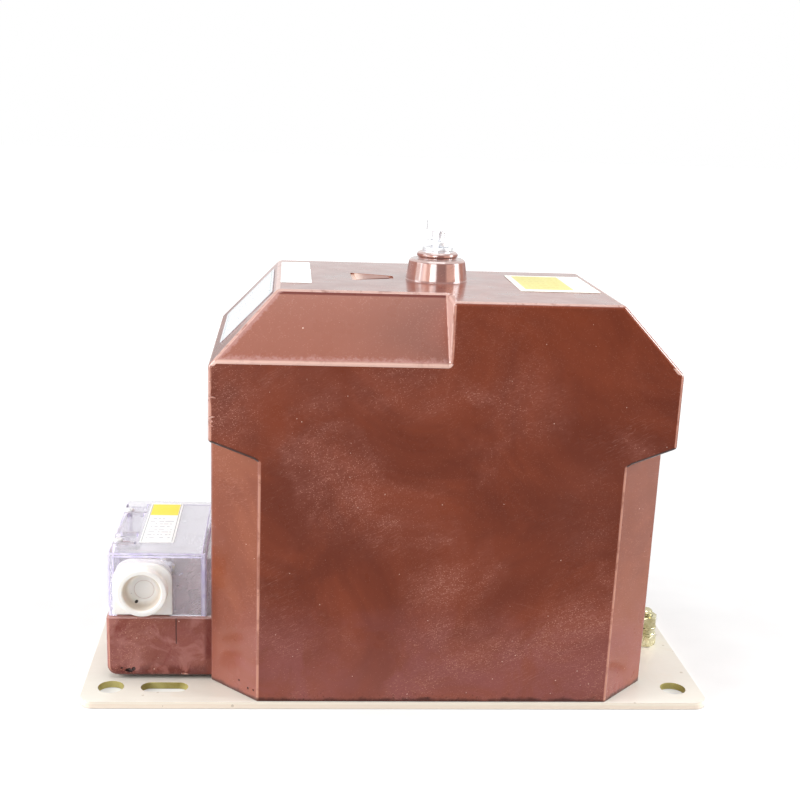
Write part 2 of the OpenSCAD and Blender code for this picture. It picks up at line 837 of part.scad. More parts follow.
// Hexagon screw, half turned out of its insert
module hv_screw() {
    color(nickel) translate([body_x, boss_y, 0]) {
        translate([0, 0, hv_screw_end]) cylinder(d = hv_thread_d, h = hv_head_z - hv_screw_end + 0.5);
        translate([0, 0, hv_head_z]) intersection() {
            hexagon(hv_hex, hv_head_h);
            rotate_extrude() polygon([[0, 0], [hv_hex / 2 + 1.4, 0],
                [hv_hex / 2 + 1.4, hv_head_h - 0.7], [hv_hex / 2 - 0.2, hv_head_h], [0, hv_head_h]]);
        }
    }
}

// Secondary terminals under the cover

module terminal_inserts() {
    color(brass) at_terminals() difference() {
        terminal_insert_form();
        translate([0, 0, insert_foot_z + 3])
            cylinder(d = terminal_thread_d + thread_play, h = terminal_insert_l);
    }
}

module terminal_washers() {
    color(nickel) for (i = [0 : terminal_count - 1])
        translate([terminal_x, terminal_ys[i], terminal_seat + seat_gap
                + (i >= terminal_count - 2 ? link_t + seat_gap : 0)])
            ring(terminal_washer_d, terminal_thread_d + 0.5, terminal_washer_t);
}

// Slotted pan-head screws, one in each insert
module terminal_screws() {
    color(nickel) for (i = [0 : terminal_count - 1])
        translate([terminal_x, terminal_ys[i], terminal_seat + 2 * seat_gap + terminal_washer_t
                + (i >= terminal_count - 2 ? link_t + seat_gap : 0)])
            difference() {
                union() {
                    cylinder(d = terminal_head_d, h = terminal_head_h);
                    translate([0, 0, -7]) cylinder(d = terminal_thread_d, h = 7.5);
                }
                rotate([0, 0, 25 + 40 * i])
                    translate([-terminal_head_d, -0.6, terminal_head_h - 1.2])
                        cube([2 * terminal_head_d, 1.2, 1.2 + eps]);
            }
}

// Bar that ties the end of the primary winding to earth
module earth_link() {
    ys = [terminal_ys[4], terminal_ys[5]];
    w = terminal_washer_d;
    color(brass) translate([0, 0, terminal_seat + seat_gap]) difference() {
        union() {
            translate([terminal_x - w / 2, ys[0], 0]) cube([w, ys[1] - ys[0], link_t]);
            for (y = ys) translate([terminal_x, y, 0]) cylinder(d = w, h = link_t);
        }
        for (y = ys) translate([terminal_x, y, -eps])
            cylinder(d = terminal_thread_d + 0.5, h = link_t + 2 * eps);
    }
}

// Terminal cover

// Arch that the gland fills: straight sides, with large round shoulders
module arch(w, h, r) {
    outline = box_pts(-w / 2, 0, w / 2, h);
    polygon(rounded(outline, [0, 0, r, r], 6));
}

module box_cover() {
    l = cover_right - cover_left;
    side = box_pts(cover_left, cover_base, cover_right, cover_top);
    plan = box_pts(cover_left, -cover_w / 2, cover_right, cover_w / 2);
    t = cover_wall;
    color([0.80, 0.79, 0.86, 0.45]) difference() {
        union() {
            difference() {
                intersection() {
                    along_y(cover_w) polygon(rounded(side, [0, 0, cover_edge_r, cover_edge_r]));
                    translate([0, 0, cover_base]) linear_extrude(cover_h)
                        polygon(rounded(plan, all_r(plan, cover_edge_r)));
                }
                translate([cover_left + t, -cover_w / 2 + t, cover_base - eps])
                    cube([l - 2 * t, cover_w - 2 * t, cover_h - t + eps]);
            }
            // Thick crown that holds the wells and the pocket
            translate([cover_left + t / 2, cover_screw_ys[0] - well_w / 2 - t, cover_top - crown_t])
                cube([well_l + t / 2, cover_screw_pitch + well_w + 2 * t, crown_t - t / 2]);
            // Posts round the cover screws
            for (y = cover_screw_ys)
                translate([cover_left + t / 2, y - post_w / 2, cover_base])
                    cube([post_l - t / 2, post_w, cover_h - t / 2]);
            // Rib beside the gland
            translate([gland_x + gland_w / 2 + 0.7, -cover_w / 2 + t / 2, cover_base + 2])
                cube([1.2, t / 2 + 2.5, rib_h]);
        }
        for (y = cover_screw_ys) {
            translate([cover_left - eps, y - well_w / 2, well_floor])
                cube([well_l + eps, well_w, well_depth + eps]);
            translate([cover_screw_x, y, cover_base - eps])
                cylinder(d = cover_thread_d + 0.4, h = cover_h);
        }
        translate([cover_left + pocket_rim, cover_screw_ys[0] + well_w / 2 + t, well_floor])
            cube([pocket_l, cover_screw_pitch - well_w - 2 * t, well_depth + eps]);
        difference() {
            translate([gland_x, 0, cover_base - eps]) along_y(2 * t + eps, -cover_w / 2)
                arch(gland_w - 2 * gland_groove + 2 * wrap_gap,
                    gland_z + gland_h - gland_groove + wrap_gap - cover_base + eps,
                    gland_shoulder_r - gland_groove);
            // Small foot left standing under the gland
            translate([gland_x - gland_w / 2, -cover_w / 2 - eps, cover_base - 2 * eps])
                cube([gland_groove + foot_w, t + eps, gland_z - cover_base - wrap_gap + 2 * eps]);
        }
    }
}

module cover_inserts() {
    color(brass) at_cover_screws() translate([0, 0, block_top - cover_insert_l]) difference() {
        cylinder(d = cover_insert_d, h = cover_insert_l);
        translate([0, 0, 1]) cylinder(d = cover_thread_d + thread_play, h = cover_insert_l);
    }
}

module cover_screws() {
    color(nickel) at_cover_screws() difference() {
        union() {
            translate([0, 0, well_floor + seat_gap]) cylinder(d = cover_head_d, h = cover_head_h);
            translate([0, 0, block_top - cover_screw_reach])
                cylinder(d = cover_thread_d, h = well_floor - block_top + cover_screw_reach + 0.5);
        }
        rotate([0, 0, 40]) translate([-cover_head_d, -0.4, well_floor + cover_head_h - 0.9])
            cube([2 * cover_head_d, 0.8, 1 + eps]);
    }
}

// Rubber gland with a lip on both sides of the cover's wall. Its ring narrows inwards to a
// thin membrane that the cable is pushed through.
module cable_gland() {
    front = -cover_w / 2;
    back = front + cover_wall;
    mid_z = gland_h * 0.48;
    rim = -gland_ring_l;
    depth = cover_wall - 0.5;
    color(rubber_cream) translate([gland_x, 0, gland_z]) difference() {
        union() {
            along_y(gland_lip, front - gland_lip / 2 - seat_gap)
                arch(gland_w, gland_h, gland_shoulder_r);
            along_y(cover_wall + gland_lip, (front + back) / 2)
                arch(gland_w - 2 * gland_groove, gland_h - gland_groove,
                    gland_shoulder_r - gland_groove);
            along_y(gland_lip, back + gland_lip / 2 + seat_gap)
                arch(gland_w - 1, gland_h + gland_inner_rise, gland_shoulder_r - 0.5);
            translate([0, front, mid_z]) rotate([-90, 0, 0]) rotate_extrude()
                polygon([[0, 0.5], [0, rim], [gland_ring_d / 2 - 0.8, rim],
                    [gland_ring_d / 2, rim + 0.8], [gland_ring_d / 2, 0.5]]);
        }
        translate([0, front, mid_z]) rotate([-90, 0, 0]) rotate_extrude()
            polygon([[0, rim - eps], [gland_mouth_d / 2 + 0.4, rim - eps],
                [gland_mouth_d / 2, rim + 1.2], [membrane_d / 2, depth - membrane_t],
                [0, depth - membrane_t]]);
        translate([0, front + depth, mid_z]) rotate([-90, 0, 0])
            cylinder(d = membrane_d, h = cover_wall + gland_lip + eps);
    }
}

// Labels

module cover_label() {
    color(label_white)
        translate([terminal_x - cover_label_w / 2, cover_screw_ys[0] - 8, cover_top + seat_gap])
            cube([cover_label_w, cover_label_l, label_t]);
}

// Metal rating plate stuck to the sloping left end
module rating_plate() {
    slope = [-plate_slope_run, -plate_slope_drop];
    angle = atan2(plate_slope_drop, plate_slope_run);
    color(label_white) translate([body_left + plate_slope_run, boss_y, body_top])
        rotate([0, -angle, 0])
            translate([-rating_w - (norm(slope) - rating_w) * 0.35, -rating_l / 2, seat_gap])
                cube([rating_w, rating_l, rating_t]);
}

module top_label_left() {
    color(label_white)
        translate([body_left + plate_slope_run + left_label_edge,
                body_w / 2 - left_label_inset - left_label_l, body_top + seat_gap])
            cube([left_label_w, left_label_l, label_t]);
}

module top_label_right() {
    color([0.97, 0.92, 0.55])
        translate([body_right - end_bevel_run - right_label_edge - right_label_w,
                -right_label_l / 2 - right_label_shift, body_top + seat_gap])
            cube([right_label_w, right_label_l, label_t]);
}

// Base fixings and earth terminal

module base_inserts() {
    color(brass) at_base_screws() translate([0, 0, plate_t + seat_gap]) difference() {
        cylinder(d = base_insert_d, h = base_insert_l);
        translate([0, 0, -eps])
            cylinder(d = base_thread_d + thread_play, h = base_insert_l - 2 + eps);
    }
}

// Countersunk screws from below
module base_screws() {
    color(zinc) at_base_screws() difference() {
        union() {
            translate([0, 0, csk_sink]) cylinder(d1 = csk_d, d2 = base_thread_d, h = csk_h);
            translate([0, 0, csk_sink + csk_h / 2]) cylinder(d = base_thread_d, h = base_screw_l);
        }
        translate([0, 0, csk_sink - eps]) hexagon(4, 2 + eps);
    }
}

module earth_stud() {
    color(zinc) translate([earth_x, earth_y, 0]) {
        translate([0, 0, 0]) cylinder(d = earth_foot_d, h = earth_foot_t);
        translate([0, 0, earth_foot_t / 2])
            cylinder(d = earth_thread_d, h = plate_t + earth_stud_h - earth_foot_t / 2 - 0.8);
        translate([0, 0, plate_t + earth_stud_h - 0.8])
            cylinder(d1 = earth_thread_d, d2 = earth_thread_d - 1.6, h = 0.8);
    }
}

module earth_clamp_nut() {
    color(zinc) translate([earth_x, earth_y, earth_clamp_z]) rotate([0, 0, 12])
        hex_nut(earth_hex, earth_thread_d + thread_play, earth_nut_h);
}

module earth_washers() {
    color(zinc) for (z = [earth_washer_1, earth_washer_2])
        translate([earth_x, earth_y, z])
            ring(earth_washer_d, earth_thread_d + 0.5, earth_washer_t);
}

module earth_spring_washer() {
    color([0.80, 0.80, 0.78]) translate([earth_x, earth_y, earth_spring_z]) rotate([0, 0, 200])
        split_ring(earth_spring_d, earth_thread_d + 0.5, earth_spring_t);
}

module earth_top_nut() {
    color(zinc) translate([earth_x, earth_y, earth_nut_z]) rotate([0, 0, 38])
        hex_nut(earth_hex, earth_thread_d + thread_play, earth_nut_h);
}

base_plate();
cast_body();
core_left();
core_right();
core_band();
core_wedges();
coil_former();
secondary_winding();
layer_insulation();
residual_winding();
main_insulation();
primary_winding();
hv_screen();
hv_lead();
winding_leads();
neutral_lead();
earth_lead();
hv_insert();
hv_flat_washer();
hv_spring_washer();
hv_screw();
terminal_inserts();
terminal_washers();
terminal_screws();
earth_link();
box_cover();
cover_inserts();
cover_screws();
cable_gland();
cover_label();
rating_plate();
top_label_left();
top_label_right();
base_inserts();
base_screws();
earth_stud();
earth_clamp_nut();
earth_washers();
earth_spring_washer();
earth_top_nut();
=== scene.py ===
"""Looks of an indoor voltage transformer, cast in resin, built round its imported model."""

import math

import bmesh
import bpy
from bpy.props import FloatProperty, FloatVectorProperty, IntProperty, PointerProperty
from mathutils import Matrix, Vector


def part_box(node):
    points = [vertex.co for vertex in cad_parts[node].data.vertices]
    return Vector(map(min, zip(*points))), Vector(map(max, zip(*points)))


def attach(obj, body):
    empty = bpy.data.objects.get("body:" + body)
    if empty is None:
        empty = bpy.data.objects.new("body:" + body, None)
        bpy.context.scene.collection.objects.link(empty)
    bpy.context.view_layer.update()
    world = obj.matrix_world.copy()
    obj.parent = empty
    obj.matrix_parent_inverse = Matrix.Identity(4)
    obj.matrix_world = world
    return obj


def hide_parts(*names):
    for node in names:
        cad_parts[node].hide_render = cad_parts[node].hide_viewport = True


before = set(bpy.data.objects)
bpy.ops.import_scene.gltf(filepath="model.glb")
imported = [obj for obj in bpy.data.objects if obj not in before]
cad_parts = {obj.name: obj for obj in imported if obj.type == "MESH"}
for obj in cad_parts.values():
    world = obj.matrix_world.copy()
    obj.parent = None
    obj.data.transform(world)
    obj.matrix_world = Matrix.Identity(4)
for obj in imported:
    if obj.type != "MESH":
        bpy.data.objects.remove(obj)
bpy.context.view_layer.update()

bl_info = {
    "name": "Voltage transformer",
    "version": (1, 0, 0),
    "blender": (4, 5, 0),
    "location": "View3D > Sidebar > Transformer",
    "description": "Builds an indoor resin-cast voltage transformer, its finishes and its studio",
    "category": "Add Mesh",
}

MM = 0.001
# Cuts reach this far past a face, in millimetres
PAST = 1.0

# Places in millimetres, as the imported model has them
PLATE_LOW, PLATE_HIGH = (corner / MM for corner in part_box("base_plate"))
CASTING_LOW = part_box("cast_body")[0] / MM
COVER_LOW, COVER_HIGH = (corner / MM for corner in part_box("box_cover"))
PLATE_TOP = PLATE_HIGH.z
BODY_LEFT, BODY_RIGHT, BODY_DEPTH, BODY_TOP = -106.0, 144.0, 146.0, 230.0
BODY_MIDDLE = (BODY_LEFT + BODY_RIGHT) / 2
BODY_FRONT = -BODY_DEPTH / 2
LOWER_TOP, HEAD_RISE, CORNER_CUT = 142.5, 10.5, 27.0
LEFT_SLOPE, RIGHT_BEVEL = (35.0, 36.0), (35.0, 36.5)
LONG_SLOPE = (28.0, 33.5)
BLOCK_BASE, BLOCK_TOP, BLOCK_DEPTH, BLOCK_FOOT = 5.8, 43.0, 92.0, 6.0
BOSS_Y, BOSS_SHOULDER, NECK_TOP = 5.0, 242.0, 246.0
FIXING_X, FIXING_Y, FIXING_HOLE = 161.5, 56.0, 14.5
SLOT_X, SLOT_LENGTH, SLOT_WIDTH = -131.5, 26.5, 11.5
BASE_SCREW_X, BASE_SCREW_Y = 95.0, 45.0
EARTH_X, EARTH_Y = 161.0, 6.0
WALL = 2.6
COVER_SCREWS_Y, COVER_SCREW_X = (-21.0, 32.0), -160.5
GLAND_X, GLAND_Z, GLAND_WIDTH, GLAND_HEIGHT = -144.0, 44.5, 33.0, 30.5
GLAND_RING_Z = GLAND_Z + GLAND_HEIGHT * 0.48
# Tapered groove cast into the top: its narrow end, its half widths, its length and depth
MARK_TIP, MARK_WIDE, MARK_NARROW, MARK_LENGTH, MARK_DEPTH = -5.5, 14.0, 5.0, 24.0, 0.8
MARK_Y = BOSS_Y + 4
# Rounding of the casting's lowest edges, as a share of its square edges' rounding
FOOT_SHARE = 0.12
# Places, sizes and strengths of the dusty patches, as (x, z, width, height, share)
DUST_PATCHES = (
    (-98, 178, 26, 36, 1.0), (-50, 182, 22, 18, 0.55), (-4, 184, 40, 22, 0.75),
    (62, 178, 30, 30, 0.45), (-20, 112, 50, 26, 0.35), (96, 120, 24, 40, 0.35))
# Lean of the wiping marks
WIPED = math.radians(24)
# Camera fitted to the photograph: its place, its turns about Z, X and Z in degrees, its focal
# length and middle in picture points, and the picture's and the sensor's width
CAMERA_PLACE, CAMERA_TURNS = (-65.649, -699.252, 331.884), (-3.983, 90 - 15.706, 2.003)
FOCAL, MIDDLE, PICTURE, SENSOR = 1240.77, (368.36, 440.89), 800, 36.0


def tone(red, green, blue):
    """Linear colour of a screen colour given in parts of 255."""
    parts = [c / 255 for c in (red, green, blue)]
    return tuple(c / 12.92 if c <= 0.04045 else ((c + 0.055) / 1.055) ** 2.4 for c in parts) + (1.0,)


# Sizes and colours


class CastingSettings(bpy.types.PropertyGroup):
    edge: FloatProperty(
        name="Edge width", description="Width of the rounding on the casting's square edges",
        default=2.4 * MM, min=0.5 * MM, max=4 * MM, subtype="DISTANCE", unit="LENGTH")
    slope_edge: FloatProperty(
        name="Slope edge width", description="Width of the rounding where two faces lean apart",
        default=1.4 * MM, min=0.5 * MM, max=3 * MM, subtype="DISTANCE", unit="LENGTH")
    inner_edge: FloatProperty(
        name="Inner edge width", description="Width of the fillet in the casting's inner corners",
        default=0.5 * MM, min=0.2 * MM, max=2 * MM, subtype="DISTANCE", unit="LENGTH")
    steps: IntProperty(
        name="Edge steps", description="Flat steps in each rounded edge", default=4, min=1, max=8)
    colour: FloatVectorProperty(
        name="Resin", description="Colour of clean resin", subtype="COLOR", size=4,
        min=0, max=1, default=tone(131, 58, 32))
    dark: FloatVectorProperty(
        name="Dark resin", description="Colour of the darker clouds in the resin", subtype="COLOR",
        size=4, min=0, max=1, default=tone(108, 43, 21))
    # Pale colour of the head's rounded edges: partly wear, partly painted highlight
    worn: FloatVectorProperty(
        name="Worn resin", description="Colour of rubbed edges and smudges", subtype="COLOR",
        size=4, min=0, max=1, default=tone(196, 154, 142))


class MetalSettings(bpy.types.PropertyGroup):
    plate: FloatVectorProperty(
        name="Base plate", description="Colour of the plated base plate", subtype="COLOR",
        size=4, min=0, max=1, default=tone(221, 218, 208))
    chromate: FloatVectorProperty(
        name="Yellow zinc", description="Colour of the earth terminal's plating", subtype="COLOR",
        size=4, min=0, max=1, default=tone(238, 234, 206))
    bright: FloatVectorProperty(
        name="Bright metal", description="Colour of the bright screws and washers", subtype="COLOR",
        size=4, min=0, max=1, default=tone(250, 250, 252))
    thread_pitch: FloatProperty(
        name="Thread pitch", description="Rise of one turn of the terminal threads",
        default=1.25 * MM, min=0.8 * MM, max=2 * MM, subtype="DISTANCE", unit="LENGTH")


class CoverSettings(bpy.types.PropertyGroup):
    edge: FloatProperty(
        name="Cover edge", description="Rounding of the clear cover's outer edges",
        default=1.6 * MM, min=0.5 * MM, max=2.4 * MM, subtype="DISTANCE", unit="LENGTH")
    tint: FloatVectorProperty(
        name="Cover tint", description="Tint of the clear plastic", subtype="COLOR", size=4,
        min=0, max=1, default=(0.80, 0.79, 0.82, 1.0))
    rubber: FloatVectorProperty(
        name="Gland rubber", description="Colour of the cable gland", subtype="COLOR", size=4,
        min=0, max=1, default=tone(252, 249, 245))


class StageSettings(bpy.types.PropertyGroup):
    lens: FloatProperty(
        name="Focal length", description="Focal length of the camera in millimetres",
        default=SENSOR * FOCAL / PICTURE, min=20, max=120)
    shift: FloatVectorProperty(
        name="Shift", description="Sideways and upward shift of the lens", size=2,
        default=(0.5 - MIDDLE[0] / PICTURE, MIDDLE[1] / PICTURE - 0.5))
    lamps: FloatProperty(
        name="Lamp level", description="Brightness of all the lamps together", default=1.0,
        min=0, max=4)
    floor: FloatVectorProperty(
        name="Floor", description="Colour of the floor", subtype="COLOR", size=4,
        min=0, max=1, default=(0.52, 0.52, 0.52, 1.0))


# Modelling


def deselect():
    if bpy.context.object and bpy.context.object.mode != "OBJECT":
        bpy.ops.object.mode_set(mode="OBJECT")
    bpy.ops.object.select_all(action="DESELECT")


def activate(piece):
    deselect()
    piece.select_set(True)
    bpy.context.view_layer.objects.active = piece


def edit(piece):
    activate(piece)
    bpy.ops.object.mode_set(mode="EDIT")
    bpy.ops.mesh.select_mode(type="VERT")


def done():
    bpy.ops.object.mode_set(mode="OBJECT")


def merge_corners(reach):
    """In edit mode, merges corners that lie within a reach in millimetres, and faces outwards."""
    bpy.ops.mesh.select_all(action="SELECT")
    bpy.ops.mesh.remove_doubles(threshold=reach * MM)
    bpy.ops.mesh.normals_make_consistent(inside=False)


def pick_open():
    """In edit mode, selects the open edges."""
    bpy.ops.mesh.select_mode(type="EDGE")
    bpy.ops.mesh.select_all(action="DESELECT")
    bpy.ops.mesh.select_non_manifold()


def settle(piece):
    """Moves a piece's place, turn and size into its mesh."""
    activate(piece)
    bpy.ops.object.transform_apply(location=True, rotation=True, scale=True)
    return piece


def pick(kind, test):
    """In edit mode, selects only the faces, edges or corners that pass a test."""
    mesh = bpy.context.edit_object.data
    bpy.ops.mesh.select_mode(type=kind)
    bpy.ops.mesh.select_all(action="DESELECT")
    form = bmesh.from_edit_mesh(mesh)
    for part in {"VERT": form.verts, "EDGE": form.edges, "FACE": form.faces}[kind]:
        if test(part):
            part.select_set(True)
    bmesh.update_edit_mesh(mesh)


def block(name, low, high):
    """Cube between two corners given in millimetres."""
    low, high = Vector(low) * MM, Vector(high) * MM
    deselect()
    bpy.ops.mesh.primitive_cube_add(size=1, location=(low + high) / 2, scale=high - low)
    piece = bpy.context.object
    piece.name = name
    return settle(piece)


def middle(part):
    return sum((v.co for v in part.verts), Vector()) / len(part.verts) / MM


def upright(edge):
    a, b = edge.verts
    return abs(a.co.z - b.co.z) > 0.9 * (a.co - b.co).length


def round_edges(piece, test, width, steps):
    """Bevels the edges that pass a test by a width in millimetres."""
    edit(piece)
    pick("EDGE", test)
    bpy.ops.mesh.bevel(offset=width * MM, offset_type="OFFSET", segments=steps, affect="EDGES")
    done()
    return piece


def slice_off(piece, point, outward):
    """Cuts away what lies past a plane and closes the cut."""
    edit(piece)
    bpy.ops.mesh.select_all(action="SELECT")
    bpy.ops.mesh.bisect(plane_co=Vector(point) * MM, plane_no=Vector(outward).normalized(),
                        use_fill=True, clear_outer=True)
    done()
    return piece


def join(pieces, name):
    activate(pieces[0])
    for other in pieces[1:]:
        other.select_set(True)
    bpy.ops.object.join()
    pieces[0].name = name
    return pieces[0]


def combine(piece, tool, operation="DIFFERENCE"):
    """Cuts, joins or keeps what two solids share, and removes the tool."""
    activate(piece)
    change = piece.modifiers.new("combine", "BOOLEAN")
    change.object, change.operation, change.solver = tool, operation, "EXACT"
    change.material_mode = "TRANSFER"
    bpy.ops.object.modifier_apply(modifier=change.name)
    bpy.data.objects.remove(tool)
    return piece


def tidy_faces(piece):
    """Merges doubled corners and joins faces that lie in one plane."""
    edit(piece)
    bpy.ops.mesh.select_all(action="SELECT")
    bpy.ops.mesh.remove_doubles(threshold=0.01 * MM)
    bpy.ops.mesh.dissolve_limited(angle_limit=math.radians(0.5), delimit={"MATERIAL"})
    bpy.ops.mesh.normals_make_consistent(inside=False)
    done()
    return piece


def ease(piece, width, steps=2, angle=32):
    """Small rounding on every sharp edge."""
    activate(piece)
    change = piece.modifiers.new("ease", "BEVEL")
    change.width, change.segments = width * MM, steps
    change.limit_method, change.angle_limit = "ANGLE", math.radians(angle)
    change.miter_outer = "MITER_ARC"
    bpy.ops.object.modifier_apply(modifier=change.name)
    return piece


def smooth(piece, angle=32):
    """Smooth shading up to an angle, with the flat faces kept flat."""
    activate(piece)
    bpy.ops.object.shade_smooth_by_angle(angle=math.radians(angle))
    change = piece.modifiers.new("flat faces", "WEIGHTED_NORMAL")
    change.keep_sharp = True
    bpy.ops.object.modifier_apply(modifier=change.name)
    return piece


def arcs(outline, radius, steps=4, closed=False):
    """Outline of (across, up) points with its corners rounded."""
    points = [Vector(p) for p in outline]
    made = []
    for i, corner in enumerate(points):
        before, after = points[i - 1] - corner, points[(i + 1) % len(points)] - corner
        end = not closed and i in (0, len(points) - 1)
        if end or before.length < 1e-6 or after.length < 1e-6:
            made.append(tuple(corner))
            continue
        half = before.angle(after) / 2
        reach = min(radius / math.tan(half), 0.45 * before.length, 0.45 * after.length)
        if reach < 0.02:
            made.append(tuple(corner))
            continue
        real = reach * math.tan(half)
        inward = (before.normalized() + after.normalized()).normalized()
        centre = corner + inward * real / math.sin(half)
        start = corner + before.normalized() * reach - centre
        end = corner + after.normalized() * reach - centre
        for k in range(steps + 1):
            share = k / steps
            arm = start * (1 - share) + end * share
            made.append(tuple(centre + arm.normalized() * real))
    return made


def turned(name, outline, centre=(0, 0, 0), sides=64, hollow=False):
    """Solid turned about Z from (radius, height) points in millimetres."""
    deselect()
    radius, height = outline[0]
    bpy.ops.mesh.primitive_circle_add(
        vertices=sides, radius=radius * MM, fill_type="NOTHING" if hollow else "NGON")
    piece = bpy.context.object
    piece.name = name
    edit(piece)
    bpy.ops.mesh.select_all(action="SELECT")
    bpy.ops.transform.translate(value=(0, 0, height * MM))
    route = list(outline[1:]) + ([outline[0]] if hollow else [])
    for r, z in route:
        rise = {"value": (0, 0, (z - height) * MM)}
        if hollow:
            bpy.ops.mesh.extrude_edges_move(TRANSFORM_OT_translate=rise)
        else:
            bpy.ops.mesh.extrude_region_move(TRANSFORM_OT_translate=rise)
        if abs(r - radius) > 1e-9:
            share = r / radius
            bpy.ops.transform.resize(value=(share, share, 1), center_override=(0, 0, z * MM))
        radius, height = r, z
    merge_corners(0.002)
    done()
    piece.location = Vector(centre) * MM
    return settle(piece)


def tilt(piece, centre, turn):
    """Turns a piece about a point, by angles in degrees about X, Y and Z."""
    here = Matrix.Translation(Vector(centre) * MM)
    about = Matrix.Identity(4)
    for axis, angle in zip("XYZ", turn):
        about = Matrix.Rotation(math.radians(angle), 4, axis) @ about
    piece.matrix_world = here @ about @ here.inverted() @ piece.matrix_world
    return settle(piece)


def copied(piece, name):
    """Copy with its own mesh."""
    activate(piece)
    bpy.ops.object.duplicate(linked=False)
    twin = bpy.context.object
    twin.name = name
    return twin


def washer(name, outer, bore, thickness, centre, edge=0.25, sides=64):
    a, b = bore / 2, outer / 2
    outline = arcs([(a, 0), (b, 0), (b, thickness), (a, thickness)], edge, 3, closed=True)
    return smooth(turned(name, outline, centre, sides, hollow=True), 40)


def spring_washer(name, outer, bore, thickness, centre, rise=0.0, turn=0):
    """Square wire bent round once, with a gap and its ends apart by the rise."""
    low, high = centre[2], centre[2] + thickness
    piece = block(name, (centre[0] + bore / 2, centre[1], low),
                  (centre[0] + outer / 2, centre[1] + 0.5, high))
    edit(piece)
    pick("FACE", lambda face: abs(face.normal.y) > 0.9)
    bpy.ops.mesh.delete(type="FACE")
    pick("VERT", lambda v: v.co.y > (centre[1] + 0.2) * MM)
    bpy.ops.mesh.delete(type="VERT")
    bpy.ops.mesh.select_all(action="SELECT")
    bpy.ops.mesh.spin(steps=56, angle=math.radians(352), center=Vector(centre) * MM, axis=(0, 0, 1))
    merge_corners(0.002)
    pick_open()
    bpy.ops.mesh.edge_face_add()
    bpy.ops.mesh.select_all(action="SELECT")
    bpy.ops.mesh.normals_make_consistent(inside=False)
    done()
    for corner in piece.data.vertices:
        arm = corner.co - Vector(centre) * MM
        share = (math.atan2(arm.y, arm.x) / math.tau) % 1.0
        corner.co.z += (share - 0.5) * rise * MM
    tilt(piece, centre, (0, 0, turn))
    return smooth(ease(piece, 0.15, 2, 50), 40)


def threaded(name, radius, pitch, low, high, centre, chamfer=0.8, depth=0.62):
    """Rod with a cut thread, chamfered at its upper end."""
    deselect()
    bpy.ops.mesh.primitive_plane_add(size=0.001)
    piece = bpy.context.object
    piece.name = name
    edit(piece)
    bpy.ops.mesh.select_all(action="SELECT")
    bpy.ops.mesh.merge(type="CENTER")
    bpy.ops.transform.translate(value=((radius - depth) * MM, 0, 0))
    profile = [(radius - depth, 0.0), (radius - depth, 0.12), (radius, 0.44), (radius, 0.56),
               (radius - depth, 0.88), (radius - depth, 1.0)]
    for (r0, s0), (r1, s1) in zip(profile, profile[1:]):
        bpy.ops.mesh.extrude_vertices_move(
            TRANSFORM_OT_translate={"value": ((r1 - r0) * MM, 0, (s1 - s0) * pitch * MM)})
    done()
    turns = math.ceil((high - low) / pitch) + 3
    sweep = piece.modifiers.new("sweep", "SCREW")
    sweep.axis, sweep.angle, sweep.screw_offset = "Z", math.tau, pitch * MM
    sweep.steps = sweep.render_steps = 36
    sweep.iterations = turns
    sweep.use_merge_vertices, sweep.merge_threshold = True, 0.001 * MM
    activate(piece)
    bpy.ops.object.modifier_apply(modifier=sweep.name)
    edit(piece)
    merge_corners(0.003)
    pick_open()
    bpy.ops.mesh.fill_holes(sides=0)
    bpy.ops.mesh.select_all(action="SELECT")
    bpy.ops.mesh.normals_make_consistent(inside=False)
    done()
    piece.location = Vector((centre[0], centre[1], low - 1.5 * pitch)) * MM
    settle(piece)
    full = radius + 0.2
    keep = turned("keep", [(full, low), (full, high - chamfer), (full - chamfer - 0.2, high)],
                  (centre[0], centre[1], 0), 48)
    combine(piece, keep, "INTERSECT")
    return smooth(piece, 28)


def hexagon(name, across, low, high, centre, turn=0, lower_chamfer=True, bore=0.0):
    """Hexagon head or nut with turned chamfers."""
    deselect()
    bpy.ops.mesh.primitive_cylinder_add(
        vertices=6, radius=across / 2 / math.cos(math.pi / 6) * MM, depth=(high - low) * MM,
        location=Vector((centre[0], centre[1], (low + high) / 2)) * MM)
    piece = bpy.context.object
    piece.name = name
    settle(piece)
    tilt(piece, (centre[0], centre[1], 0), (0, 0, turn))
    half, wide = across / 2 - 0.1, across / 2 + 1.5
    drop = (wide - half) * math.tan(math.radians(30))
    outline = [(half, low), (wide, low + drop)] if lower_chamfer else [(wide, low)]
    outline += [(wide, high - drop), (half, high)]
    combine(piece, turned("chamfer", outline, (centre[0], centre[1], 0), 72), "INTERSECT")
    if bore:
        hole = [(bore / 2 + 0.5, low - 0.01), (bore / 2, low + 0.5), (bore / 2, high - 0.5),
                (bore / 2 + 0.5, high + 0.01)]
        combine(piece, turned("bore", hole, (centre[0], centre[1], 0), 48))
    return smooth(ease(piece, 0.12, 2, 25), 30)


def ready(piece, slot, *nodes):
    """Sets a finished piece on the model, in place of the nodes that it stands for."""
    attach(piece, "root")
    if nodes:
        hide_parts(*nodes)
    return piece


# Shading


def fill(tree, node, inputs):
    """Links or sets the inputs of a node."""
    for key, value in inputs.items():
        value = getattr(value, "socket", value)
        if isinstance(value, bpy.types.NodeSocket):
            tree.links.new(value, node.inputs[key])
        else:
            node.inputs[key].default_value = value


def put(tree, kind, inputs=None, **settings):
    """Adds a node, sets it, and links or fills its inputs."""
    made = tree.nodes.new("ShaderNode" + kind)
    for key, value in settings.items():
        setattr(made, key, value)
    fill(tree, made, inputs or {})
    return made


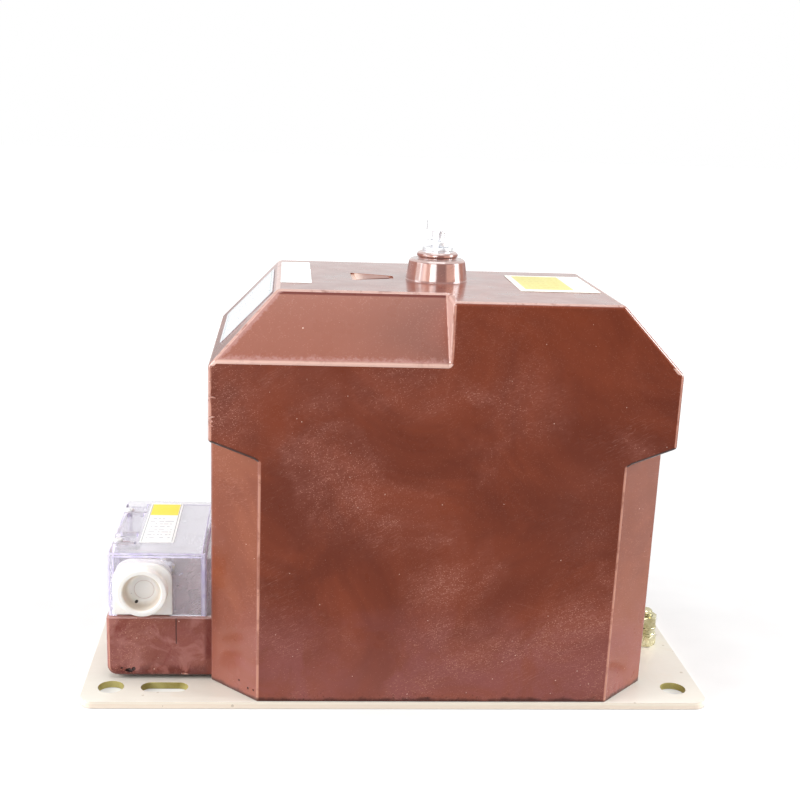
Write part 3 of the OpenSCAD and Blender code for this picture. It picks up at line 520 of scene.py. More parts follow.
class Level:
    """What a node puts out, reckoned with as if it were a number."""

    def __init__(self, socket):
        self.socket = socket
        self.tree = socket.id_data

    def __add__(self, other):
        return maths("ADD", self, other)

    def __sub__(self, other):
        return maths("SUBTRACT", self, other)

    def __rsub__(self, other):
        return maths("SUBTRACT", other, self)

    def __mul__(self, other):
        return maths("MULTIPLY", self, other)

    def __truediv__(self, other):
        return maths("DIVIDE", self, other)

    def __lt__(self, other):
        return maths("LESS_THAN", self, other)

    def __abs__(self):
        return maths("ABSOLUTE", self)

    def either(self, other):
        """The larger of two masks."""
        return maths("MAXIMUM", self, other)

    def ramp(self, low, high, first=0.0, last=1.0):
        """Soft step from the first value, at low, to the last one, at high."""
        made = put(self.tree, "MapRange", {"Value": self, "From Min": low, "From Max": high,
                                           "To Min": first, "To Max": last},
                   interpolation_type="SMOOTHSTEP")
        return Level(made.outputs[0])

    def ramp_mm(self, low, high, first=0.0, last=1.0):
        """Soft step between two places in millimetres."""
        return self.ramp(low * MM, high * MM, first, last)


def maths(operation, a, b=0.0, clamp=False):
    tree = a.tree if isinstance(a, Level) else b.tree
    return Level(put(tree, "Math", {0: a, 1: b}, operation=operation, use_clamp=clamp).outputs[0])


def vectors(operation, a, b=(0.0, 0.0, 0.0)):
    """Reckons with vectors; a length, distance or product comes out as a number."""
    made = put(a.tree, "VectorMath", {0: a, 1: b}, operation=operation)
    number = operation in ("LENGTH", "DISTANCE", "DOT_PRODUCT")
    return Level(made.outputs["Value" if number else "Vector"])


def split(vector):
    return [Level(part) for part in put(vector.tree, "SeparateXYZ", {0: vector}).outputs]


def mapped(place, kind="POINT", **inputs):
    return Level(put(place.tree, "Mapping", {"Vector": place, **inputs}, vector_type=kind).outputs[0])


def noise(place, scale, detail=2.0, roughness=0.5, distortion=0.0, output=0):
    made = put(place.tree, "TexNoise", {"Vector": place, "Scale": scale, "Detail": detail,
                                        "Roughness": roughness, "Distortion": distortion})
    return Level(made.outputs[output])


def blend(share, first, second):
    """Colour between two others."""
    return Level(put(share.tree, "Mix", {0: share, 6: first, 7: second}, data_type="RGBA").outputs[2])


def bump(height, strength, distance):
    """Normal bent by a height of up to a distance in millimetres."""
    made = put(height.tree, "Bump", {"Height": height, "Strength": strength, "Distance": distance * MM})
    return Level(made.outputs[0])


def drawn_out(place, turn, stretch):
    """Coordinates turned by an angle in radians about Y, then stretched."""
    made = put(place.tree, "VectorRotate", {"Vector": place, "Angle": turn}, rotation_type="Y_AXIS")
    return vectors("MULTIPLY", Level(made.outputs[0]), stretch)


def distance(place, centre, weights):
    """Distance from a point in millimetres, with a weight for each axis."""
    away = vectors("SUBTRACT", place, [c * MM for c in centre])
    return vectors("LENGTH", vectors("MULTIPLY", away, weights))


def box_mask(axes, low, high, soft=0.2):
    """1 inside a rectangle of two coordinates, given in millimetres."""
    one, two = (axis.ramp_mm(a - soft, a + soft) * axis.ramp_mm(b + soft, b - soft)
                for axis, a, b in zip(axes, low, high))
    return one * two


def new_group(name, build, defaults):
    """Node group that takes a place and some values, and puts out a mask."""
    tree = bpy.data.node_groups.new(name, "ShaderNodeTree")
    tree.interface.new_socket("Place", in_out="INPUT", socket_type="NodeSocketVector")
    for label, default in defaults.items():
        kind = "NodeSocketVector" if isinstance(default, tuple) else "NodeSocketFloat"
        tree.interface.new_socket(label, in_out="INPUT", socket_type=kind).default_value = default
    tree.interface.new_socket("Mask", in_out="OUTPUT", socket_type="NodeSocketFloat")
    given = tree.nodes.new("NodeGroupInput").outputs
    mask = build(*(Level(given[label]) for label in ("Place", *defaults)))
    tree.links.new(mask.socket, tree.nodes.new("NodeGroupOutput").inputs["Mask"])
    return tree


def shared(**defaults):
    """Makes a node group of a function: built once, and placed with its own values at each call."""
    def wrap(build):
        name = build.__name__.replace("_", " ")

        def placed(place, *values):
            group = bpy.data.node_groups.get(name) or new_group(name, build, defaults)
            made = put(place.tree, "Group", dict(enumerate((place, *values))), node_tree=group)
            return Level(made.outputs[0])

        return placed

    return wrap


@shared(Scale=10.0, Low=0.4, High=0.6, Warp=0.5)
def clouds(place, scale, low, high, warp):
    """Soft clouds: a mask from 0 to 1 between two levels of a noise."""
    return noise(place, scale, 5.0, 0.6, warp).ramp(low, high)


@shared(Scale=600.0, Size=0.2, Share=0.3, Patches=20.0)
def specks(place, scale, size, share, patches):
    """Small scattered specks with frayed edges, thick in some places and rare in others."""
    fray = vectors("MULTIPLY", noise(place, scale * 2.5, output=1), (0.0005, 0.0005, 0.0005))
    cells = put(place.tree, "TexVoronoi", {"Vector": vectors("ADD", place, fray), "Scale": scale}).outputs
    chance = put(place.tree, "SeparateColor", {0: cells["Color"]}).outputs
    dense = noise(place, patches, 3.0).ramp(0.35, 0.7, 0.15, 1.0)
    there = Level(chance[0]) < share * dense
    return there * (Level(cells["Distance"]) < size * (Level(chance[1]) + 0.4))


@shared(Turn=0.0, Stretch=(30.0, 30.0, 400.0), Width=0.012, Patches=18.0)
def scratches(place, turn, stretch, width, patches):
    """Fine drawn-out scratches that come in patches."""
    drawn = noise(drawn_out(place, turn, stretch), 1.0, 1.0, distortion=0.3)
    return (abs(drawn - 0.5) < width) * noise(place, patches).ramp(0.52, 0.66)


@shared(Radius=2.0 * MM, Ragged=0.5, Scale=220.0, Low=0.02, High=0.12)
def edge_wear(place, radius, ragged, scale, low, high):
    """Rubbed edges: a mask where the surface turns within a radius, broken up by noise."""
    rounded = Level(put(place.tree, "Bevel", {"Radius": radius}, samples=6).outputs[0])
    flat = put(place.tree, "NewGeometry").outputs["True Normal"]
    turn = 1.0 - vectors("DOT_PRODUCT", rounded, flat)
    off = (noise(place, scale, 4.0) - 0.5) * ragged
    return (turn * (off + 1.0)).ramp(low, high)


class Finish:
    """Material in the making: its tree and shader, the piece's own coordinates, the colour so far."""

    def __init__(self, name, colour=None):
        self.material = bpy.data.materials.new(name)
        self.material.use_nodes = True
        self.tree = self.material.node_tree
        self.shader = self.tree.nodes["Principled BSDF"]
        self.place = Level(put(self.tree, "TexCoord").outputs["Object"])
        self.colour = colour

    def facing(self):
        """The three parts of the surface's direction."""
        return split(Level(put(self.tree, "NewGeometry").outputs["Normal"]))

    def lay(self, share, colour):
        """Lays a colour over what is there, by a mask."""
        self.colour = blend(share, self.colour, colour)

    def done(self, values):
        fill(self.tree, self.shader, {"Base Color": self.colour, **values})
        return self.material

    def show(self, shader):
        """Puts another shader in front of the plain one."""
        self.tree.links.new(shader.outputs[0], self.tree.nodes["Material Output"].inputs["Surface"])


def resin(name="cast resin", least=0.15, rub=0.0):
    """Red-brown resin under a gloss coat, dusty and handled, its rounded edges laid pale by the given share,
    partly as wear and partly as painted highlight.

    The two broad sides have only the least share of the gloss."""
    settings = bpy.context.scene.transformer_casting
    paint = Finish(name)
    place, lay = paint.place, paint.lay
    x, y, z = split(place)
    aside, across, up = paint.facing()
    aside, across = abs(aside), abs(across)
    broad = clouds(place, 11.0, 0.36, 0.64, 1.2)
    paint.colour = blend(broad, settings.dark, settings.colour)
    # Long slopes: a slightly lighter tone of their own by facing, as painted light, and painted shade
    # darkening them towards their right end
    sloping = across.ramp(0.55, 0.65) * across.ramp(0.90, 0.85) * up.ramp(0.5, 0.6)
    lay(sloping, tone(136, 63, 32))
    lay(sloping * x.ramp_mm(-40, 14, 0.0, 0.30), tone(98, 40, 24))
    # Painted light and shade by facing: cut corners laid a lighter orange, the walls of the steps a pale
    # painted highlight, and painted shade on what faces down
    cut = aside.ramp(0.60, 0.68) * aside.ramp(0.84, 0.78) * up.ramp(0.3, 0.1)
    lay(cut * broad.ramp(0.0, 1.0, 0.5, 0.9), tone(136, 74, 48))
    wall = aside.ramp(0.90, 0.96) * abs(x - BODY_MIDDLE * MM).ramp_mm(2, 1)
    lay(wall * 0.8, tone(236, 200, 190))
    lay(up.ramp(-0.2, -0.5) * 0.65, tone(88, 38, 26))
    # Dust in wiped streaks on the two broad sides, thick in a few patches and along the foot
    broadside = across.ramp(0.74, 0.96, 0.3, 1.0)
    streak = noise(drawn_out(place, WIPED, (12.0, 12.0, 40.0)), 1.0, 5.0, 0.6)
    patch = clouds(place, 14.0, 0.46, 0.70, 0.8)
    for centre_x, centre_z, wide, high, share in DUST_PATCHES:
        near = distance(place, (centre_x, 0, centre_z), (1 / (wide * MM), 0, 1 / (high * MM)))
        patch = patch.either(near.ramp(1.1, 0.3, 0.0, share))
    dust = patch * streak.ramp(0.36, 0.66, 0.25, 1.0) * broadside
    lay(dust * 0.40, tone(162, 100, 88))
    lay(z.ramp_mm(70, 6) * 0.38, tone(164, 100, 90))
    # Purplish handling marks, thick low down and on the terminal block
    lay(clouds(place, 26.0, 0.40, 0.62, 0.8) * z.ramp_mm(75, 12) * 0.6, tone(146, 84, 82))
    handled = x.ramp_mm(BODY_LEFT - 1, BODY_LEFT - 4)
    scuffs = clouds(place, 60.0, 0.42, 0.66, 1.4)
    smears = clouds(place, 38.0, 0.54, 0.70, 1.8)
    lay(handled * scuffs.ramp(0.0, 1.0, 0.18, 0.75), tone(176, 116, 108))
    lay(handled * (smears * 0.6), tone(120, 38, 32))
    # Terminal block darkened towards its corner with the body, and a grey strip of painted shade in the
    # crease under the cover
    corner = x.ramp_mm(BODY_LEFT - 5, BODY_LEFT - 2) * x.ramp_mm(BODY_LEFT + 0.6, BODY_LEFT - 0.1)
    corner *= z.ramp_mm(BLOCK_TOP + 1, BLOCK_TOP)
    lay(corner * scuffs.ramp(0.0, 1.0, 0.4, 0.9), tone(104, 36, 28))
    crease_shade = x.ramp_mm(BODY_LEFT + 0.5, BODY_LEFT - 0.5) * z.ramp_mm(BLOCK_TOP - 0.4, BLOCK_TOP - 0.1)
    lay(crease_shade * 0.7, tone(104, 94, 98))
    # Terminal block darker towards its foot
    lay((z + scuffs * 0.007).ramp_mm(15, 9) * handled * 0.6, tone(84, 30, 26))
    # Scratches, short strokes left by wiping, and two sizes of specks
    hair = scratches(place, math.radians(28), (70.0, 70.0, 900.0), 0.010, 20.0)
    hair = hair.either(scratches(place, math.radians(-16), (30.0, 30.0, 1100.0), 0.005, 12.0))
    strokes = noise(drawn_out(place, WIPED, (300.0, 300.0, 1500.0)), 1.0, 2.0, distortion=1.6)
    fine = specks(place, 1300.0, 0.34, 0.5, 16.0) * dust.ramp(0.0, 0.6, 0.22, 1.0)
    lay(hair * 0.16, tone(205, 150, 135))
    lay(strokes.ramp(0.52, 0.62) * dust * 0.36, tone(192, 130, 112))
    lay(fine * 0.62, tone(214, 152, 130))
    lay(specks(place, 420.0, 0.12, 0.08, 12.0) * 0.9, tone(240, 204, 186))
    # Upright ridges laid pale, partly rubbed and partly painted highlight, and dark crumbs just above the
    # base plate
    ridge_wear_and_highlight = aside.ramp(0.16, 0.26) * aside.ramp(0.62, 0.50) * abs(up).ramp(0.3, 0.15)
    lay(ridge_wear_and_highlight * scuffs.ramp(0.0, 1.0, 0.75, 0.35), tone(206, 148, 128))
    crumbs = noise(place, 520.0, 4.0, 0.7).ramp(0.56, 0.64) * z.ramp_mm(PLATE_TOP + 9, PLATE_TOP + 2)
    lay(crumbs * patch.ramp(0.0, 0.5, 0.35, 1.0) * 0.6, tone(62, 28, 24))
    # Long slopes: painted dark reflection in a band under the upper edge, and a pale lower rim and left edge,
    # partly dust and partly painted highlight
    breaks = noise(place, 420.0, 6.0, 0.7) - 0.5
    rise = z - (BODY_TOP - LONG_SLOPE[1]) * MM
    band = rise.ramp_mm(30.8, 31.6) * rise.ramp_mm(33.4, 32.8) * sloping
    lay(band * 0.9, tone(96, 30, 20))
    run, drop = LEFT_SLOPE
    reach = (x - BODY_LEFT * MM) * drop - (z + (drop - BODY_TOP) * MM) * run
    left_rim_dust_and_highlight = (reach / math.hypot(run, drop) + breaks * 0.005).ramp_mm(3.4, 1.8)
    rim_dust_and_highlight = (rise + breaks * 0.007).ramp_mm(3.6, 0.4).either(left_rim_dust_and_highlight) * sloping
    lay(rim_dust_and_highlight * 0.6, tone(186, 142, 136))
    # Rounded edges of the head laid pale, partly rubbed and partly painted highlight; a painted highlight
    # along the lip under the long slopes; painted shade on the edges facing down under the head
    if rub:
        ragged = clouds(place, 150.0, 0.25, 0.5, 0.8)
        high = z.ramp_mm(LOWER_TOP + 9, LOWER_TOP + 15, 0.16, 1.0)
        high *= x.ramp_mm(BODY_RIGHT - 37, BODY_RIGHT - 33, 1.0, 0.08)
        lip = abs(rise + 0.8 * MM).ramp_mm(2.0, 1.2)
        turned_away = across.ramp(0.90, 0.66).either(lip)
        lay(ragged * high * (turned_away * rub), settings.worn)
        lay(lip * across.ramp(0.80, 0.92) * 0.7, tone(232, 192, 178))
        shade_under_head = up.ramp(-0.12, -0.45) * z.ramp_mm(LOWER_TOP - 6, LOWER_TOP - 1)
        lay(shade_under_head * 0.9, tone(44, 20, 16))
    # Pale film on what faces up, partly dust and partly painted reflection, thick on the boss; and a dark
    # band along the foot, partly grime and partly painted shade where the casting meets the plate
    dust_and_reflection_film = up.ramp(0.25, 0.75, 0.06, 0.42) if least == 1.0 else up.ramp(0.7, 1.0, 0.0, 0.06)
    lay(dust_and_reflection_film, tone(214, 206, 204))
    grime_and_foot_shade = (z + noise(place, 130.0, 4.0) * -0.005).ramp_mm(4.5, 2.2)
    lay(grime_and_foot_shade * 0.8, tone(52, 26, 22))
    # The groove cast into the top is duller than the skin round it, and pale at its wide end
    side = x.ramp_mm(MARK_TIP - MARK_LENGTH, MARK_TIP, (MARK_WIDE - 0.5) * MM, (MARK_NARROW - 0.5) * MM)
    mark = (side - abs(y - MARK_Y * MM)).ramp_mm(0, 0.6)
    mark *= box_mask((x, z), (MARK_TIP - MARK_LENGTH, BODY_TOP - 1.5), (MARK_TIP, BODY_TOP + 1))
    lay(mark, blend(x.ramp_mm(-21, -27), tone(150, 92, 74), tone(226, 190, 172)))
    rough = noise(place, 60.0, 5.0).ramp(0.3, 0.7, 0.26, 0.40)
    height = noise(place, 340.0, 3.0) * 0.25 + fine * 0.5 - hair * 0.4
    dull = mark.either(band.either(rim_dust_and_highlight * 0.7))
    coat = broadside.ramp(0.3, 1.0, 0.88, least) * cut.ramp(0.0, 1.0, 1.0, 0.4)
    coat *= sloping.ramp(0.0, 1.0, 1.0, 0.88)
    return paint.done({
        "Roughness": maths("ADD", rough, fine.either(dust) * 0.12, clamp=True),
        "Normal": bump(height, 0.25, 0.12), "Specular IOR Level": 0.1,
        "Coat Weight": coat * dull.ramp(0.0, 1.0, 1.0, 0.25), "Coat Roughness": 0.13, "Coat IOR": 1.75})


def broken_resin(name, scale, dark, pale, roughness, strength, depth):
    """Grained colour inside the chips, the pits and the crack: pale open resin in the chips, painted shade in
    the pits and the crack.
    """
    paint = Finish(name)
    grain = clouds(paint.place, scale, 0.3, 0.7, 0.2)
    paint.colour = blend(grain, dark, pale)
    return paint.done({"Roughness": roughness, "Normal": bump(grain, strength, depth)})


def once(make):
    """Makes a material only where none has its name: the frame's own brass and pressboard serve."""
    def given(name, *values, **more):
        return bpy.data.materials.get(name) or make(name, *values, **more)

    return given


@once
def metal(name, colour, shade, roughness, metallic=0.9, rubbed=None):
    """Plated metal with cloudy tarnish, a fine grain and rubbed edges."""
    paint = Finish(name)
    paint.colour = blend(clouds(paint.place, 60.0, 0.3, 0.7, 0.4), shade, colour)
    rubbed = rubbed or tuple(min(1.0, c * 1.15 + 0.05) for c in colour[:3]) + (1.0,)
    paint.lay(edge_wear(paint.place, 0.4 * MM, 0.6, 900.0, 0.02, 0.2) * 0.6, rubbed)
    grain = noise(paint.place, 400.0, 4.0)
    return paint.done({"Roughness": grain.ramp(0.3, 0.7, roughness - 0.06, roughness + 0.1),
                       "Metallic": metallic, "Normal": bump(grain, 0.18, 0.06)})


def bright_metal():
    # Bright steel; its rubbed edges are laid dark grey, as painted shade that outlines the pieces
    colour = bpy.context.scene.transformer_metal.bright
    return metal("bright metal", colour, tone(226, 228, 232), 0.26, 0.72, tone(150, 152, 158))


def plated_sheet():
    """Pale plating of the base plate with stains, its side faces painted lighter and warmer as painted light,
    with a pinkish band low on them.
    """
    paint = Finish("plated base plate")
    place, lay = paint.place, paint.lay
    cloud = clouds(place, 16.0, 0.3, 0.7, 0.6)
    paint.colour = blend(cloud, tone(214, 210, 199), bpy.context.scene.transformer_metal.plate)
    lay(clouds(place, 48.0, 0.56, 0.74, 1.0) * 0.22, tone(214, 196, 170))
    # Painted light: the side faces laid lighter than the top
    side = paint.facing()[2].ramp(0.5, 0.1, 0.0, 0.9)
    lay(side, tone(252, 240, 222))
    lower = (split(place)[2] + cloud * 0.0012).ramp_mm(3.4, 2.6)
    lay(side * lower * 0.35, tone(240, 212, 190))
    lay(specks(place, 260.0, 0.2, 0.08, 20.0) * 0.45, tone(150, 132, 104))
    lay(edge_wear(place, 0.5 * MM, 0.8, 500.0, 0.02, 0.2) * 0.35, tone(200, 160, 140))
    grain = noise(mapped(place, Scale=(0.25, 1, 1)), 500.0, 4.0)
    return paint.done({"Roughness": grain.ramp(0.3, 0.7, 0.34, 0.5), "Normal": bump(grain, 0.15, 0.08),
                       "Coat Weight": 0.15})


def clear_plastic():
    """Clear cover plastic, faintly hazed and lavender, that lamps shine through."""
    paint = Finish("clear plastic", bpy.context.scene.transformer_cover.tint)
    haze = clouds(paint.place, 70.0, 0.4, 0.75, 1.0)
    rub = scratches(paint.place, 0.6, (150.0, 150.0, 1500.0), 0.01, 40.0)
    path = put(paint.tree, "LightPath").outputs
    through = put(paint.tree, "BsdfTransparent", {"Color": (0.92, 0.91, 0.94, 1.0)}).outputs[0]
    paint.show(put(paint.tree, "MixShader", {0: path["Is Shadow Ray"], 1: paint.shader.outputs[0],
                                             2: through}))
    return paint.done({"Roughness": haze.ramp(0.0, 1.0, 0.10, 0.22) + rub * 0.2,
                       "Normal": bump(haze, 0.05, 0.2), "Transmission Weight": 0.88, "IOR": 1.2})


def edge_plastic():
    """Painted light: a milky lavender on the clear plastic's rounded edges, standing in for the light that
    shows along them.
    """
    paint = Finish("clear plastic edge")
    paint.colour = blend(clouds(paint.place, 120.0, 0.3, 0.7, 0.6), tone(196, 186, 220), tone(226, 221, 238))
    return paint.done({"Roughness": 0.28, "Transmission Weight": 0.2, "IOR": 1.3})


def rubber():
    """Cream rubber of the gland, with painted shade in its throat and a line scored round its membrane."""
    paint = Finish("cream rubber")
    place, lay = paint.place, paint.lay
    paint.colour = blend(clouds(place, 60.0, 0.35, 0.7, 0.5), tone(249, 244, 238),
                         bpy.context.scene.transformer_cover.rubber)
    # Painted shade: the throat's wall laid olive-tan
    throat = vectors("DISTANCE", place, (GLAND_X * MM, -47 * MM, GLAND_RING_Z * MM))
    lay(throat.ramp_mm(7.5, 9.5) * throat.ramp_mm(12.2, 11.0) * 0.45, tone(176, 150, 112))
    crumb = distance(place, (GLAND_X - 3.6, COVER_LOW.y, GLAND_RING_Z - 7.3), (1.0, 0.1, 1.3))
    lay(crumb.ramp_mm(1.0, 0.8), tone(40, 22, 18))
    score = distance(place, (GLAND_X + 0.6, 0, GLAND_RING_Z - 0.4), (1.0, 0.0, 1.0))
    lay(abs(score - 5.5 * MM).ramp_mm(0.25, 0.1, 0.0, 0.6), tone(206, 182, 176))
    lay(specks(place, 420.0, 0.16, 0.03, 60.0) * 0.6, tone(120, 96, 80))
    grain = noise(place, 1200.0, 3.0)
    return paint.done({
        "Roughness": grain.ramp(0.3, 0.7, 0.42, 0.58), "Normal": bump(grain, 0.12, 0.05),
        "Subsurface Weight": 0.3, "Subsurface Radius": (0.006, 0.005, 0.004), "Subsurface Scale": 1.0})


def printed(name, fields, rows, base=tone(244, 244, 242), roughness=0.38, origin=(0, 0, 0), turn=0.0):
    """Printed label: plain colour fields and rows of grey bars on its own flat coordinates.

    A field is (low, high, colour) and a set of rows is (low, high, pitch, colour), in millimetres."""
    paint = Finish(name, base)
    flat = mapped(paint.place, "TEXTURE", Location=[c * MM for c in origin],
                  Rotation=(0.0, math.radians(turn), 0.0))
    axes = split(flat)[:2]
    paint.lay(clouds(paint.place, 40.0, 0.4, 0.8, 0.5) * 0.25, tone(222, 220, 214))
    for low, high, tint in fields:
        paint.lay(box_mask(axes, low, high), tint)
    for low, high, pitch, tint in rows:
        line = maths("FRACT", axes[1] / (pitch * MM))
        bars = noise(mapped(flat, Scale=(620.0, 500.0 / pitch, 1.0)), 1.0, 0.0).ramp(0.44, 0.48)
        line = line.ramp(0.30, 0.36) * line.ramp(0.66, 0.60) * bars
        paint.lay(box_mask(axes, low, high) * line * 0.8, tint)
    grain = noise(paint.place, 900.0)
    return paint.done({"Roughness": grain.ramp(0.3, 0.7, roughness - 0.06, roughness + 0.08),
                       "Normal": bump(grain, 0.1, 0.04)})


@once
def inner_finish(name, colour, shade, roughness, metallic=0.0, strands=None):
    """Finish of a piece inside the casting: a tone that varies, with strands where it is wound."""
    paint = Finish(name)
    paint.colour = blend(clouds(paint.place, 45.0, 0.3, 0.7, 0.4), shade, colour)
    height = noise(paint.place, 500.0, 3.0)
    if strands:
        wave = Level(put(paint.tree, "TexWave", {"Vector": paint.place, "Scale": strands, "Distortion": 0.2,
                                                 "Detail": 1.0}).outputs[1])
        height = height * 0.3 + wave
        paint.lay(wave.ramp(0.35, 0.0) * 0.5, tuple(c * 0.45 for c in shade[:3]) + (1.0,))
    return paint.done({"Roughness": roughness, "Metallic": metallic, "Normal": bump(height, 0.4, 0.2)})


# Pieces


def dress(piece, *finishes):
    """Gives a piece its finishes in place of those that it has."""
    piece.data.materials.clear()
    for finish in finishes:
        piece.data.materials.append(finish)
    return piece


def chip_tool(at, size, turn):
    """Small faceted cutter for a chip in an edge."""
    deselect()
    bpy.ops.mesh.primitive_ico_sphere_add(subdivisions=1, radius=1, location=Vector(at) * MM)
    piece = bpy.context.object
    piece.scale = Vector(size) * MM
    piece.rotation_euler = [math.radians(a) for a in turn]
    return settle(piece)


class TRANSFORMER_OT_casting(bpy.types.Operator):
    """Resin casting: body with cut corners, full-width head, long slopes, terminal block and boss"""

    bl_idname = "transformer.casting"
    bl_label = "Casting"

    def execute(self, context):
        settings = context.scene.transformer_casting
        body = block("casting", (BODY_LEFT, BODY_FRONT, PLATE_TOP), (BODY_RIGHT, -BODY_FRONT, BODY_TOP))
        for side, end, (run, drop) in ((-1, BODY_LEFT, LEFT_SLOPE), (1, BODY_RIGHT, RIGHT_BEVEL)):
            slice_off(body, (end, 0, BODY_TOP - drop), (side * drop, 0, run))
        for side, end in ((-1, BODY_LEFT), (1, BODY_RIGHT)):
            for depth in (-1, 1):
                combine(body, self.corner(side, end, depth))
        run, drop = LONG_SLOPE
        wedge = block("wedge", (BODY_LEFT - PAST, BODY_FRONT - 2 * drop, BODY_TOP - 2 * drop),
                      (BODY_MIDDLE, BODY_FRONT + 2 * run, BODY_TOP + 5))
        slice_off(wedge, (0, BODY_FRONT, BODY_TOP - drop), (0, drop, -run))
        twin = tilt(copied(wedge, "rear wedge"), (BODY_MIDDLE, 0, 0), (0, 0, 180))
        combine(body, wedge)
        combine(body, twin)

        foot = block("terminal block", (CASTING_LOW.x, -BLOCK_DEPTH / 2, BLOCK_BASE),
                     (BODY_LEFT + CORNER_CUT / 2, BLOCK_DEPTH / 2, BLOCK_TOP))
        at_foot = Vector((CASTING_LOW.x, 0, BLOCK_BASE))
        round_edges(foot, lambda e: (middle(e) - at_foot).xz.length < 0.1, BLOCK_FOOT, 6)
        # The bevel faces take the rubbed resin: pale partly from wear and partly as painted highlight
        skin, rubbed = resin(), resin("rubbed and highlighted resin", rub=0.85)
        for part in (body, foot):
            tidy_faces(part)
            self.weigh_edges(part, settings)
            change = part.modifiers.new("edges", "BEVEL")
            change.width, change.segments = settings.edge, settings.steps
            change.limit_method, change.use_clamp_overlap = "WEIGHT", False
            change.miter_outer, change.material = "MITER_ARC", 1
            dress(part, skin, rubbed)
            for face in part.data.polygons:
                face.material_index = 0
            activate(part)
            bpy.ops.object.modifier_apply(modifier=change.name)
        combine(body, foot, "UNION")
        self.cut_mark(body)
        self.chip(body)
        combine(body, self.boss(), "UNION")
        smooth(tidy_faces(body), 25)
        ready(body, "resin", "cast_body")
        return {"FINISHED"}

    @staticmethod
    def corner(side, end, depth):
        """Cutter for a corner of the lower body, up to the head's sloping underside."""
        inner, y = end - side * CORNER_CUT, depth * -BODY_FRONT
        across, deep = sorted((inner, end + side * 9)), sorted((y - depth * CORNER_CUT, y + depth * 9))
        cutter = block("corner", (across[0], deep[0], PLATE_TOP - 5), (across[1], deep[1], LOWER_TOP + 40))
        slice_off(cutter, (inner, y, 0), (-side, -depth, 0))
        return slice_off(cutter, (inner, 0, LOWER_TOP), (-side * HEAD_RISE, 0, CORNER_CUT))

    @staticmethod
    def weigh_edges(body, settings):
        """Gives square, leaning and inner edges their own share of the rounding."""
        edit(body)
        kinds = {}
        form = bmesh.from_edit_mesh(body.data)
        for edge in form.edges:
            if len(edge.link_faces) != 2 or not edge.is_manifold:
                continue
            turn = math.degrees(edge.calc_face_angle_signed(0))
            if middle(edge).z < PLATE_TOP + 0.01:
                width = FOOT_SHARE * settings.edge
            elif turn < -20:
                width = settings.inner_edge
            elif turn > 75:
                width = settings.edge
            elif turn > 20:
                width = settings.slope_edge
            else:
                continue
            kinds.setdefault(round(width / settings.edge, 3), set()).add(edge.index)
        for share, found in kinds.items():
            pick("EDGE", lambda edge: edge.index in found)
            bpy.ops.transform.edge_bevelweight(value=share)
        done()

    @staticmethod
    def cut_mark(body):
        """Shallow tapered groove cast into the top."""
        rings = []
        for inset, low in ((0.0, BODY_TOP - MARK_DEPTH), (2.2, BODY_TOP - MARK_DEPTH - 1)):
            ring = block("mark", (MARK_TIP - MARK_LENGTH + inset, MARK_Y - MARK_WIDE + inset, low),
                         (MARK_TIP - inset, MARK_Y + MARK_WIDE - inset, BODY_TOP + PAST))
            edit(ring)
            pick("VERT", lambda v: v.co.x > (MARK_TIP - inset - 1) * MM)
            share = (MARK_NARROW - inset) / (MARK_WIDE - inset)
            bpy.ops.transform.resize(value=(1, share, 1), center_override=(0, MARK_Y * MM, 0))
            done()
            rings.append(round_edges(ring, upright, 1.4, 4))
        outer, inner = rings
        combine(outer, inner)
        combine(body, outer)

    @staticmethod
    def chip(body):
        """Chips in the edges, and pits and a crack in the terminal block and a cut corner."""
        left, right, front, block_front = BODY_LEFT, BODY_RIGHT, BODY_FRONT, -BLOCK_DEPTH / 2
        chips = (((left + 1.6, front + 0.2, 177.5), (3.6, 1.1, 0.6), (0, 6, 8)),
                 ((left + 1.4, front + 0.2, 166.8), (3.2, 1.1, 0.6), (0, -8, 8)),
                 ((left + 1.2, front + 0.3, 164.6), (2.0, 1.0, 0.8), (10, 0, 8)),
                 ((left + 1.2, front + 0.3, 162.2), (2.4, 1.0, 0.5), (0, 10, 8)),
                 ((right - 9.0, front + 1.0, 204.3), (1.6, 1.2, 1.0), (0, 40, 0)),
                 ((right - 5.4, front + 0.8, 200.4), (1.2, 1.0, 0.8), (20, 10, 0)),
                 ((-121.0, block_front + 0.3, BLOCK_BASE + 1.3), (2.4, 1.2, 0.8), (0, 8, 5)))
        pits = (((-152.5, block_front - 0.1, 9.3), (2.6, 2.4, 1.5), (0, 12, 0)),
                ((-150.0, block_front + 0.1, 10.2), (1.3, 1.2, 1.6), (0, 30, 0)),
                ((-156.6, block_front + 0.1, 10.8), (0.8, 0.8, 0.6), (0, 0, 0)),
                ((-89.4, -62.6, 11.8), (0.7, 0.7, 0.6), (0, 0, 45)),
                ((-84.2, -67.8, 9.4), (0.8, 0.8, 0.8), (0, 0, 45)),
                ((-81.2, -70.8, 9.8), (0.65, 0.65, 0.7), (0, 0, 45)))
        crack = block("crack", (-125.9, block_front - 0.6, 26.0),
                      (-125.4, block_front + 0.5, BLOCK_TOP - 1.5))
        pale = broken_resin("chipped resin", 900.0, tone(214, 158, 142), tone(244, 216, 204), 0.75, 0.5, 0.2)
        # The pits and the crack are painted near-black inside: painted shade
        dark = broken_resin("pitted resin", 700.0, tone(40, 16, 14), tone(82, 36, 32), 0.6, 0.6, 0.3)
        for finish, cuts in ((pale, chips), (dark, pits)):
            for at, size, turn in cuts:
                combine(body, dress(chip_tool(at, size, turn), finish))
        combine(body, dress(crack, dark))

